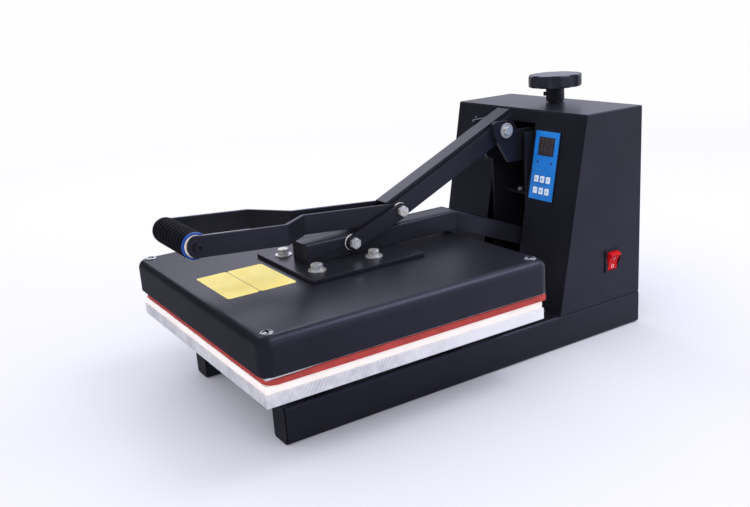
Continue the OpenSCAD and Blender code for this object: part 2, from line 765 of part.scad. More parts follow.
module tower_back() color("#1e1e22") in_frame() difference() {
    half = base_w / 2 - sheet_t;
    block(-half, half, tower_yb - sheet_t, tower_yb, tube_h, tower_top_z - sheet_t);
    for (x = [-inlet_x, inlet_x]) translate([x, tower_yb - sheet_t - past, tube_h + inlet_up])
        rotate([-90, 0, 0]) cylinder(r = inlet_r + run_gap, h = sheet_t + 2 * past);
    for (at = back_screws) translate([at[0], tower_yb - sheet_t - past, at[1]]) rotate([-90, 0, 0])
        cylinder(r = tower_screw_r / 2 + run_gap, h = sheet_t + 2 * past);
}

// Pan-head screw standing on Z = 0, its shank downwards
module pan_screw(head_r, head_h, shank) {
    rotate_extrude() intersection() {
        translate([0, head_h - head_r * pan_dome]) circle(head_r * pan_dome);
        square([head_r, head_h]);
    }
    translate([0, 0, -shank]) cylinder(r = head_r / 2, h = shank + head_h / 2);
}

module tower_screws() color("#8d8d90") in_frame() {
    on_front(front_screw_x, front_screw_up)
        pan_screw(tower_screw_r, tower_screw_h, sheet_t);
    for (at = back_screws) translate([at[0], tower_yb, at[1]]) rotate([-90, 0, 0])
        pan_screw(tower_screw_r, tower_screw_h, sheet_t * 3);
}

// Columns, brace and bridge inside the tower

module columns() color("#202024") in_frame() both_sides() difference() {
    union() {
        along_x(col_in, col_out) polygon([[col_y0, floor_top], [col_y1, floor_top], [col_y1, bridge_z],
            [col_y1 - col_high_d, bridge_z], [col_y1 - col_high_d, col_top], [col_y0, col_top]]);
        block(col_out, col_out + foot_w, col_y0, col_y1, floor_top, floor_top + foot_t);
    }
    rod_x(shaft_r + run_gap, col_in - past, col_out + past, hinge);
    for (y = foot_bolt_y) rod_z(bolt_hole_r, floor_top - past, floor_top + foot_t + past, foot_bolt_x, y);
}

module column_brace() color("#2a2a2e") in_frame() difference() {
    y0 = col_y0 + brace_in;
    block(-col_in, col_in, y0, y0 + brace_d, brace_z, brace_z + brace_t);
    for (x = [-brace_bolt_x, brace_bolt_x])
        rod_z(small_bolt_r + run_gap, brace_z - past, brace_z + brace_t + past, x, brace_bolt_y);
}

module spindle_bridge() color("#2a2a2e") in_frame() difference() {
    union() {
        block(-col_out, col_out, col_y1 - col_high_d, col_y1, bridge_z, bridge_z + bridge_t);
        rod_z(boss_r, bridge_z + bridge_t - past, bridge_z + bridge_t + boss_h, 0, screw_y);
    }
    rod_z(screw_r + run_gap, bridge_z - past, bridge_z + bridge_t + boss_h + past, 0, screw_y);
}

module hinge_shaft() color("#9a9aa0") in_frame() {
    rod_x(shaft_r, -col_out - collar_w - past, col_out + collar_w + past, hinge);
    rod_x(shaft_mid_r, -leg_in + side_gap, leg_in - side_gap, hinge);
    both_sides() rod_x(collar_r, col_out + side_gap, col_out + collar_w, hinge);
}

// Control panel

// Middles of the six buttons on the panel, as [x, y]
button_at = [for (row = [0, 1], column = [-1, 0, 1])
    [column * button_pitch_x, -button_drop - row * button_pitch_y]];

module panel_cutouts(z0, z1, play) {
    plate(display_w + 2 * play, display_h + 2 * play, z0, z1, 0, display_up);
    for (x = [-lamp_x, lamp_x]) rod_z(lamp_r + play / 2, z0, z1, x, lamp_up);
    for (at = button_at) plate(button_w + 2 * play, button_h + 2 * play, z0, z1, at[0], at[1]);
}

module panel_housing() color("#121214") in_frame() on_panel() difference() {
    union() {
        plate(panel_w + 2 * panel_rim, panel_l + 2 * panel_rim, 0, flange_t);
        plate(panel_w - 2 * housing_step, panel_l - 2 * housing_step, -housing_d, flange_t / 2);
    }
    plate(panel_w - 2 * (housing_step + housing_wall), panel_l - 2 * (housing_step + housing_wall),
        -housing_d - past, 0);
    panel_cutouts(-past, flange_t + past, panel_play);
}

module panel_overlay() color("#1b7bd0") in_frame() on_panel() difference() {
    plate(panel_w, panel_l, flange_t, overlay_top);
    panel_cutouts(flange_t - past, overlay_top + past, panel_play);
}

module display_window() color("#241a18") in_frame() on_panel()
    plate(display_w, display_h, -flange_t, overlay_top, 0, display_up);

module indicator_lamps() color("#7a2a22") in_frame() on_panel() for (x = [-lamp_x, lamp_x])
    rod_z(lamp_r, -board_in, overlay_top, x, lamp_up);

module circuit_board() color("#2f6b3a") in_frame() on_panel() {
    edge = housing_step + housing_wall + panel_play;
    plate(panel_w - 2 * edge, panel_l - 2 * edge, -board_in - board_t, -board_in);
}

module button(n) color("#dfe9f5") in_frame() on_panel() {
    at = button_at[n - 1];
    plate(button_w, button_h, lip_top - past / 2, overlay_top + button_proud, at[0], at[1]);
    plate(button_w + 2 * button_lip, button_h + 2 * button_lip, lip_top - button_lip, lip_top, at[0], at[1]);
    rod_z(button_stem_r, -board_in + button_travel + panel_play / 2, lip_top - button_lip / 2, at[0], at[1]);
}

module relay() color("#c8c8c2") in_frame() {
    x0 = -(base_w / 2 - sheet_t + col_out + foot_w + relay_w) / 2;
    y0 = col_y0 + floor_t;
    block(x0, x0 + relay_w, y0, y0 + relay_l, floor_top, floor_top + relay_base);
    block(x0, x0 + relay_w, y0 + relay_ear, y0 + relay_l - relay_ear, floor_top, floor_top + relay_h);
}

// Switch, fuse and gland

module switch_housing() color("#111113") in_frame() difference() {
    body_w = bezel_w - 2 * bezel_t - 2 * run_gap;
    body_h = bezel_h - bezel_t - 2 * run_gap;
    face = base_w / 2;
    union() {
        block(face, face + bezel_t, switch_y - bezel_w / 2, switch_y + bezel_w / 2,
            switch_z - bezel_h / 2, switch_z + bezel_h / 2);
        block(face - switch_d, face + bezel_t / 2, switch_y - body_w / 2, switch_y + body_w / 2,
            switch_z - body_h / 2, switch_z + body_h / 2);
    }
    translate([rocker_x, switch_y, switch_z]) rotate([90, 0, 0]) {
        cylinder(r = rocker_r + rocker_gap, h = rocker_w + 2 * rocker_gap, center = true);
        cylinder(r = rocker_axle_r + run_gap, h = body_w - bezel_t / 2, center = true);
    }
}

module rocker() color("#d81e28") in_frame() translate([rocker_x, switch_y, switch_z]) rotate([90, 0, 0]) {
    linear_extrude(rocker_w, center = true) rotate(-rocker_throw / 2) difference() {
        circle(rocker_r);
        translate([rocker_waist + rocker_hollow_r, 0]) circle(rocker_hollow_r, $fn = 180);
    }
    cylinder(r = rocker_axle_r, h = rocker_w + bezel_t, center = true);
}

module fuse_holder() color("#151517") in_frame()
    translate([-inlet_x, tower_yb, tube_h + inlet_up]) rotate([-90, 0, 0]) {
        translate([0, 0, -inlet_d]) cylinder(r = inlet_r, h = inlet_d + inlet_cap / 2);
        cylinder(r = fuse_flange_r, h = fuse_flange_t);
        cylinder(r = fuse_cap_r, h = inlet_cap);
    }

module cable_gland() color("#151517") in_frame()
    translate([inlet_x, tower_yb, tube_h + inlet_up]) rotate([-90, 0, 0]) difference() {
        union() {
            translate([0, 0, -inlet_d]) cylinder(r = inlet_r, h = inlet_d + inlet_cap / 2);
            cylinder(r = inlet_nut_r, h = inlet_cap / 2, $fn = 6);
            cylinder(r = inlet_dome_r, h = inlet_cap);
        }
        translate([0, 0, -inlet_d - past]) cylinder(r = cord_r, h = inlet_d + inlet_cap + 2 * past);
    }

// Yoke and pressure screw

module yoke() color("#1d1d21") in_frame() difference() {
    union() {
        both_sides() along_x(ear_in, ear_out) polygon([
            pivot + [-ear_ahead, -ear_dip], pivot + [-ear_ahead, ear_over - ear_cut],
            pivot + [ear_cut - ear_ahead, ear_over], pivot + [ear_behind, ear_over],
            pivot + [pivot_out / 2, -yoke_drop], [screw_y + head_back, yoke_top],
            [screw_y + head_back, yoke_low], pivot + [ear_behind, -yoke_under]]);
        block(-col_in + side_gap, col_in - side_gap, screw_y - head_front, screw_y + head_back,
            yoke_low, yoke_top);
    }
    rod_x(pivot_r + run_gap, -ear_out - past, ear_out + past, pivot);
    rod_z(screw_r + run_gap, yoke_low - past, yoke_top + past, 0, screw_y);
}

module lever_pivot_bolt() color("#cfd3d8") in_frame() {
    rod_x(pivot_r, -ear_out - pivot_head_h, ear_out + pivot_head_h / 2, pivot);
    both_sides() {
        rod_x(pivot_washer_r, ear_out, ear_out + pivot_washer_t, pivot);
        hex_x(pivot_head_r, ear_out + pivot_washer_t - run_gap, ear_out + pivot_head_h, pivot);
    }
}

module pressure_screw() color("#8c8c92") in_frame() {
    rod_z(screw_r, yoke_low - thrust_t * 2, rim_z + rim_h / 3, 0, screw_y);
    rod_z(thrust_r, yoke_top + side_gap, yoke_top + thrust_t, 0, screw_y);
    rod_z(thrust_r, yoke_low - thrust_t, yoke_low - side_gap, 0, screw_y);
    translate([-stem_r - set_screw_proud, screw_y, stem_z + stem_h / 2]) rotate([0, 90, 0])
        cylinder(r = set_screw_r, h = set_screw_proud + stem_r - screw_r / 2);
}

module knob_outline() difference() {
    circle(rim_r);
    for (i = [0:lobes - 1]) rotate(i * 360 / lobes)
        translate([rim_r + hollow_r - lobe_depth, 0]) circle(hollow_r);
}

module pressure_knob() color("#17171a") in_frame() translate([0, screw_y, 0]) difference() {
    union() {
        rod_z(stem_r, stem_z, rim_z + rim_edge_r, 0, 0);
        intersection() {
            translate([0, 0, rim_z]) linear_extrude(rim_h) knob_outline();
            translate([0, 0, rim_z]) rotate_extrude() polygon(concat([[0, 0]],
                [for (t = rim_turns) [rim_r - rim_edge_r * (1 - sin(t)), rim_edge_r * (1 - cos(t))]],
                [for (t = rim_turns) [rim_r - rim_edge_r * (1 - cos(t)), rim_h - rim_edge_r * (1 - sin(t))]],
                [[0, rim_h]]));
        }
    }
    rod_z(screw_r + run_gap, stem_z - past, rim_z + rim_h / 3 + run_gap, 0, 0);
    translate([-stem_r - past, 0, stem_z + stem_h / 2]) rotate([0, 90, 0])
        cylinder(r = set_screw_r + run_gap, h = stem_r);
}

// Lever and grip

// Keeps the lever's underside clear of the closed beam
module over_beam() difference() {
    children();
    translate([beam_y0, 0]) square([beam_len, beam_top + knee_gap]);
}

module lever_outline() over_beam() {
    translate(pivot) rotate(lever_tilt) translate([-lever_len - knee_lap, -bar_h / 2])
        square([lever_len + knee_lap + bar_tail, bar_h]);
    translate(grip) rotate(handle_tilt) translate([0, -bar_h / 2]) square([handle_len, bar_h]);
    translate(grip) circle(bar_h / 2 + eye_proud);
}

module lever_bars() color("#1f1f24") in_frame() both_sides() difference() {
    jog_y0 = grip[0] + wide_len;
    jog_y1 = jog_y0 + jog_len;
    back = pivot[0] + bar_tail + bar_h;
    front = grip[0] - bar_h;
    slant = bar_t * (sqrt(jog_len * jog_len + pow(grip_in - bar_in, 2)) - jog_len) / (grip_in - bar_in);
    intersection() {
        along_x(0, grip_out + past) lever_outline();
        linear_extrude(tower_top_z * 2) polygon([[bar_in, back], [bar_out, back], [bar_out, jog_y1],
            [grip_out, jog_y0], [grip_out, front], [grip_in, front], [grip_in, jog_y0 - slant],
            [bar_in, jog_y1 - slant]]);
    }
    rod_x(pivot_r + run_gap, 0, bar_out + past, pivot);
    rod_x(sleeve_r + run_gap, 0, bar_out + past, knee);
    rod_x(grip_bolt_r + run_gap, grip_in - past, grip_out + past, grip);
}

module lever_channel() color("#33333c") in_frame() {
    difference() {
        along_x(-bar_in, bar_in) over_beam() translate(pivot) rotate(lever_tilt)
            translate([-lever_len - channel_nose, -bar_h / 2])
                square([lever_len + channel_nose + channel_tail, bar_h + channel_proud]);
        along_x(-bar_in + channel_wall, bar_in - channel_wall) translate(pivot) rotate(lever_tilt)
            translate([-lever_len - channel_nose - past, -bar_h])
                square([lever_len + channel_nose + channel_tail + 2 * past,
                    bar_h * 1.5 + channel_proud - channel_wall]);
        rod_x(pivot_r + run_gap, -bar_in - past, bar_in + past, pivot);
    }
    difference() {
        rod_x(sleeve_r, -bar_out, bar_out, knee);
        rod_x(toe_pin_r, -bar_out - past, bar_out + past, knee);
    }
}

module grip_tube() color("#8d8d92") in_frame() difference() {
    rod_x(grip_tube_r, -grip_in, grip_in, grip);
    both_sides() rod_x(grip_bolt_r + run_gap, grip_in - grip_bolt_in - past, grip_in + past, grip);
}

// Outline of the ribbed foam: rounded ribs with a groove between each two
module foam_profile() {
    rib = 2 * foam_half / foam_ribs;
    steps = 6;
    outer = [for (i = [0:foam_ribs * steps]) [
        foam_r - foam_groove * (1 - abs(sin(180 * i / steps))), -foam_half + i * rib / steps]];
    polygon(concat([[grip_tube_r + slip_gap, -foam_half]], outer, [[grip_tube_r + slip_gap, foam_half]]));
}

module foam_grip() color("#101014") in_frame()
    translate([0, grip[0], grip[1]]) rotate([0, 90, 0]) rotate_extrude() foam_profile();

module ring_x(r, x0, x1) both_sides() difference() {
    rod_x(r, x0, x1, grip);
    rod_x(grip_tube_r + slip_gap, x0 - past, x1 + past, grip);
}

module grip_rings() color("#1a48b0") in_frame() ring_x(ring_r, foam_half, foam_half + ring_w);
module grip_washers() color("#e8dcc8") in_frame() ring_x(grip_washer_r, foam_half + ring_w, grip_in);

module grip_bolts() color("#141416") in_frame() both_sides() difference() {
    union() {
        rod_x(grip_bolt_r, grip_in - grip_bolt_in, grip_out + grip_head_h / 2, grip);
        rod_x(grip_head_r, grip_out, grip_out + grip_head_h, grip);
    }
    hex_x(grip_head_r / 2, grip_out + grip_head_h / 2, grip_out + grip_head_h + past, grip);
}

// Arm and head

module swing_outline() {
    translate([beam_y0, beam_z]) square([beam_len, beam_h]);
    intersection() {
        translate([beam_y1, beam_mid]) rotate(leg_tilt) translate([-leg_h, -leg_h / 2])
            square([leg_h + leg_len, leg_h]);
        translate([beam_y0, 0]) square([tower_yb, beam_top]);
    }
    translate(hinge) circle(hub_r);
}

module swing_plates() color("#23232a") in_frame() both_sides() difference() {
    step_y1 = beam_y1 + leg_step_len;
    step = leg_in - swing_in;
    slant = swing_t * (sqrt(leg_step_len * leg_step_len + step * step) - leg_step_len) / step;
    intersection() {
        along_x(0, leg_out + past) swing_outline();
        linear_extrude(tower_top_z) polygon([[swing_in, beam_y0], [beam_half, beam_y0], [beam_half, beam_y1],
            [leg_out, step_y1], [leg_out, tower_yb], [leg_in, tower_yb], [leg_in, step_y1 + slant],
            [swing_in, beam_y1 + slant]]);
    }
    rod_x(shaft_r + run_gap, leg_in - past, leg_out + past, hinge);
    rod_x(toe_pin_r + run_gap, swing_in - past, beam_half + past, toe);
}

module swing_box() color("#2c2c34") in_frame() difference() {
    block(-swing_in, swing_in, beam_y0, beam_y1, beam_z, beam_top);
    block(-swing_in - past, swing_in + past, beam_y0 + box_wall, beam_y1 - box_wall,
        beam_z - past, beam_top - box_wall);
}

// Places of the four mount bolts, as [x, y]
mount_at = [for (x = [-1, 1], y = [0, 1])
    [x * mount_pitch_x / 2, bed_yc - mount_bolt_ahead + y * mount_pitch_y]];

module mount_plate() color("#202026") in_frame() difference() {
    block(-mount_w / 2, mount_w / 2, bed_yc - mount_ahead, bed_yc - mount_ahead + mount_d, cover_top, beam_z);
    for (at = mount_at) rod_z(bolt_hole_r, cover_top - past, beam_z + past, at[0], at[1]);
}

module mount_bolts() color("#d8d4c4") in_frame() for (at = mount_at) {
    spring_z = beam_z + washer_t;
    head_z = spring_z + spring_t;
    rod_z(bolt_r, heat_top - mount_bolt_in, head_z + bolt_head_h / 2, at[0], at[1]);
    rod_z(washer_r, beam_z, spring_z, at[0], at[1]);
    rod_z(spring_r, spring_z, head_z, at[0], at[1]);
    hex_z(bolt_head_r, head_z, head_z + bolt_head_h, at[0], at[1]);
    difference() {
        rod_z(spacer_r, heat_top, cover_top - cover_wall, at[0], at[1]);
        rod_z(bolt_hole_r, heat_top - past, cover_top, at[0], at[1]);
    }
}

module heat_platen() color("#c9c9d0") in_frame() difference() {
    block(-heat_half, heat_half, platen_yc - heat_half, platen_yc + heat_half, heat_z, heat_top);
    for (at = mount_at)
        rod_z(bolt_hole_r, heat_top - mount_bolt_in - run_gap, heat_top + past, at[0], at[1]);
    for (x = [0, 1], y = [0, 1]) translate([0, platen_yc, 0]) mirror([x, 0, 0]) mirror([0, y, 0])
        translate([cover_half - cover_r, cover_half - cover_r, cover_z]) difference() {
            cube([cover_r, cover_r, heat_t]);
            translate([0, 0, -past]) cylinder(r = cover_r - heat_inset, h = heat_t + 2 * past);
        }
}

module heating_element() color("#6f6a66") in_frame() translate([0, platen_yc, heat_top + element_r]) {
    first = -(element_runs - 1) * element_pitch / 2;
    for (i = [0:element_runs - 1]) translate([first + i * element_pitch, element_len / 2, 0])
        rotate([90, 0, 0]) cylinder(r = element_r, h = element_len);
    for (i = [0:element_runs - 2]) mirror([0, 1 - i % 2, 0])
        translate([first + (i + 0.5) * element_pitch, element_len / 2, 0])
            rotate_extrude(angle = 180) translate([element_pitch / 2, 0]) circle(element_r);
}

module insulation() color("#e6dfcf") in_frame() difference() {
    translate([0, platen_yc, insulation_z]) linear_extrude(insulation_h)
        rounded(2 * insulation_half, 2 * insulation_half, insulation_r);
    for (at = mount_at) rod_z(spacer_r + insulation_gap, insulation_z - past, cover_top, at[0], at[1]);
}

// Pressed shell with rounded corners and a rounded top edge, standing on Z = 0
module pressed_box(half, h, r, edge_r) hull() for (x = [-1, 1], y = [-1, 1])
    translate([x * (half - r), y * (half - r), 0]) {
        cylinder(r = r, h = h - edge_r, $fn = 48);
        translate([0, 0, h - edge_r]) rotate_extrude($fn = 48) {
            square([r - edge_r, edge_r]);
            translate([r - edge_r, 0]) intersection() {
                circle(edge_r, $fn = 32);
                square(edge_r);
            }
        }
    }

// Places of the four cover screws, as [x, y]
cover_screw_off = cover_half - cover_screw_in;
cover_at = [for (x = [-1, 1], y = [-1, 1]) [x * cover_screw_off, platen_yc + y * cover_screw_off]];

module platen_cover() color("#26262e") in_frame() difference() {
    translate([0, platen_yc, cover_z]) pressed_box(cover_half, cover_h, cover_r, cover_edge_r);
    translate([0, platen_yc, cover_z - past])
        pressed_box(cover_half - cover_wall, cover_h + past - cover_wall, cover_r - cover_wall,
            cover_edge_r - cover_wall);
    for (at = mount_at) rod_z(bolt_hole_r, cover_z, cover_top + past, at[0], at[1]);
    for (at = cover_at) rod_z(cover_screw_r / 2 + run_gap, cover_z, cover_top + past, at[0], at[1]);
    translate([gland_x, platen_yc, cover_top - gland_drop]) rotate([-90, 0, 0])
        cylinder(r = gland_r + run_gap, h = bed_w);
}

module cover_screws() color("#d5d5da") in_frame() for (at = cover_at) translate([at[0], at[1], cover_top])
    pan_screw(cover_screw_r, cover_screw_h, cover_wall * 4);

// The probe stands on the heat plate, and the gland passes its lead through the cover's back
module temperature_sensor() color("#b0aca4") in_frame() {
    rod_z(gland_r, heat_top, element_top, 2 * element_pitch, platen_yc + element_len / 3);
    translate([gland_x, platen_yc + cover_half, cover_top - gland_drop]) rotate([-90, 0, 0]) {
        translate([0, 0, -cover_wall - gland_r]) cylinder(r = gland_r, h = cover_wall + 2 * gland_r);
        cylinder(r = gland_nut_r, h = gland_r, $fn = 6);
        translate([0, 0, gland_r]) cylinder(r = gland_dome_r, h = gland_r);
    }
}

module arm_pivot_bolt() color("#cfd3d8") in_frame() {
    rod_x(toe_pin_r, -link_out - toe_head_h / 2, link_out + toe_head_h / 2, toe);
    both_sides() hex_x(toe_head_r, link_out + side_gap, link_out + toe_head_h, toe);
}

// Toggle links, with the bolts that hold their upper ends to the lever's knee

module toggle_links() color("#212127") in_frame() both_sides() difference() {
    along_x(link_in, link_out) {
        translate(toe) rotate(atan2(knee[1] - toe[1], knee[0] - toe[0])) translate([0, -link_w / 2])
            square([norm(knee - toe), link_w]);
        translate(toe) circle(link_w / 2);
        translate(knee) circle(link_w / 2);
    }
    for (at = [toe, knee]) rod_x(toe_pin_r + run_gap, link_in - past, link_out + past, at);
}

module knee_bolts() color("#cfd3d8") in_frame() both_sides() {
    rod_x(toe_pin_r, bar_out + side_gap, link_out + toe_head_h / 2, knee);
    hex_x(toe_head_r, link_out, link_out + toe_head_h, knee);
}

module nylon_washers() color("#f0efe9") in_frame() both_sides() for (at = [toe, knee]) difference() {
    rod_x(nylon_r, link_in - nylon_t, link_in, at);
    rod_x(toe_pin_r + run_gap, link_in - nylon_t - past, link_in + past, at);
}

base_tubes();
tube_end_caps();
cross_bars();
bed_plate();
foam_pad();
silicone_mat();
frame_bolts();
tower_floor();
tower_front();
tower_left();
tower_right();
tower_top();
tower_back();
tower_screws();
columns();
column_brace();
spindle_bridge();
hinge_shaft();
panel_housing();
panel_overlay();
display_window();
indicator_lamps();
circuit_board();
relay();
switch_housing();
fuse_holder();
cable_gland();
for (n = [1:6]) button(n);
rocker();
yoke();
lever_pivot_bolt();
pressure_knob();
pressure_screw();
lever_bars();
lever_channel();
grip_tube();
foam_grip();
grip_rings();
grip_washers();
grip_bolts();
swing_plates();
swing_box();
mount_plate();
mount_bolts();
heat_platen();
heating_element();
insulation();
platen_cover();
cover_screws();
temperature_sensor();
arm_pivot_bolt();
toggle_links();
knee_bolts();
nylon_washers();
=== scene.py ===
import json
import math

import bmesh
import bpy
from mathutils import Matrix, Vector


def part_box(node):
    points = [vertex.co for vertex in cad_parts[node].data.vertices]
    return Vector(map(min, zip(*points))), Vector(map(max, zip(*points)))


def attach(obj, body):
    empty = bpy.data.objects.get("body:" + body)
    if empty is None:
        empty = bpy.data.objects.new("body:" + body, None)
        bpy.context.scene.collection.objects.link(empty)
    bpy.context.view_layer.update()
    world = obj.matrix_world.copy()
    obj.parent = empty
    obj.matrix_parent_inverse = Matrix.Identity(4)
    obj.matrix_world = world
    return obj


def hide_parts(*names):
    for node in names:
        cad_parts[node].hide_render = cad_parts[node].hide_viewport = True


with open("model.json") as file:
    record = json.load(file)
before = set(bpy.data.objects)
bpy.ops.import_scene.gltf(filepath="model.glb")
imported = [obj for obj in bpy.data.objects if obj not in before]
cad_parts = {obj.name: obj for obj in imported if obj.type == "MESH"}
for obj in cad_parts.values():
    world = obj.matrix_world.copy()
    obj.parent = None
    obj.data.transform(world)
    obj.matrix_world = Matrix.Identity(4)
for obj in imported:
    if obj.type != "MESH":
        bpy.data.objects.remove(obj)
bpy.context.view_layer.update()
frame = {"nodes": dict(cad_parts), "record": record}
nodes = frame["nodes"]
record = frame["record"]
bodyOf = {name: body for body, names in record["behaviour"]["bodies"].items() for name in names}
slotOf = {row["node"]: row["material_slot"] for row in record["subparts"]}
mm = 0.001
print("frame loaded:", len(nodes), "nodes")


# small tools

def linear(hexText):
    parts = [int(hexText[i:i + 2], 16) / 255 for i in (1, 3, 5)]
    return tuple(p / 12.92 if p < 0.04045 else ((p + 0.055) / 1.055) ** 2.4 for p in parts) + (1,)


# a node with its settings; a socket among them, a node for its first output, or a list of these is linked
def addNode(tree, kind, settings=None):
    made = tree.nodes.new(kind)
    for key, value in (settings or {}).items():
        for source in value if isinstance(value, list) else [value]:
            if isinstance(source, bpy.types.Node):
                source = source.outputs[0]
            if isinstance(source, bpy.types.NodeSocket):
                tree.links.new(source, made.inputs[key])
            elif isinstance(key, int) or key in made.inputs:
                made.inputs[key].default_value = value
            else:
                setattr(made, key, value)
    return made


# the nodes used most
def calc(tree, operation, *values, clamp=False):
    settings = {"operation": operation, "use_clamp": clamp, **dict(enumerate(values))}
    return addNode(tree, "ShaderNodeMath", settings)


def combine(tree, x=0.0, y=0.0, z=0.0):
    return addNode(tree, "ShaderNodeCombineXYZ", {"X": x, "Y": y, "Z": z})


def separate(tree, vector):
    return addNode(tree, "ShaderNodeSeparateXYZ", {"Vector": vector}).outputs


def ramp(tree, value, low, high, first=0.0, last=1.0, kind="LINEAR"):
    return addNode(tree, "ShaderNodeMapRange", {"interpolation_type": kind, "Value": value, "From Min": low,
                                                "From Max": high, "To Min": first, "To Max": last}).outputs["Result"]


def blend(tree, share, first, second):
    return addNode(tree, "ShaderNodeMix", {"data_type": "RGBA", 0: share, 6: first, 7: second}).outputs[2]


def noise(tree, place, size, detail, roughness=0.5):
    return addNode(tree, "ShaderNodeTexNoise", {"Vector": place, "Scale": 1000 / size, "Detail": detail,
                                                "Roughness": roughness}).outputs["Fac"]


def newPiece(name, mesh, material=None):
    piece = bpy.data.objects.new(name, mesh)
    bpy.context.scene.collection.objects.link(piece)
    if material:
        mesh.materials.clear()
        mesh.materials.append(material)
    return piece


def bakeModifiers(piece):
    graph = bpy.context.evaluated_depsgraph_get()
    baked = bpy.data.meshes.new_from_object(piece.evaluated_get(graph), preserve_all_data_layers=True, depsgraph=graph)
    piece.modifiers.clear()
    piece.data = baked


# rounds every edge sharper than the angle, and evens out the shading of the flats
def softenEdges(piece, width, angle=32, steps=2, weighted=False):
    piece.data.shade_smooth()
    if width:
        bevel = piece.modifiers.new("edges", "BEVEL")
        bevel.width = width * mm
        bevel.segments = steps
        bevel.limit_method = "WEIGHT" if weighted else "ANGLE"
        bevel.angle_limit = math.radians(angle)
        bevel.use_clamp_overlap = False
    else:
        piece.data.set_sharp_from_angle(angle=math.radians(angle))
    even = piece.modifiers.new("shading", "WEIGHTED_NORMAL")
    even.keep_sharp = True
    bakeModifiers(piece)


def settle(piece, body, slot=None, *stands):
    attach(piece, body)
    if stands:
        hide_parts(*stands)
    return piece


# merged copy of a CAD node, with or without the inner edges of its flats
def copyNode(name, clearFlats=True):
    work = bmesh.new()
    work.from_mesh(nodes[name].data)
    bmesh.ops.remove_doubles(work, verts=work.verts, dist=1e-6)
    if clearFlats:
        bmesh.ops.dissolve_limit(work, angle_limit=math.radians(0.6), verts=work.verts, edges=work.edges)
    return work


def toMesh(work, name):
    mesh = bpy.data.meshes.new(name)
    work.to_mesh(mesh)
    work.free()
    return mesh


def pieceName(node):
    first, *rest = node.split("_")
    return first + "".join(word.capitalize() for word in rest)


# finishes: two tones in patches, a fine grain that also moves the roughness, and what the surface adds.
# Patches, grain and the grain's depth are in mm
def finish(name, dark, light, patch, grain, depth, rough, **more):
    return {"name": name, "dark": dark, "light": light, "patch": patch, "grain": grain, "depth": depth,
            "rough": rough, **more}


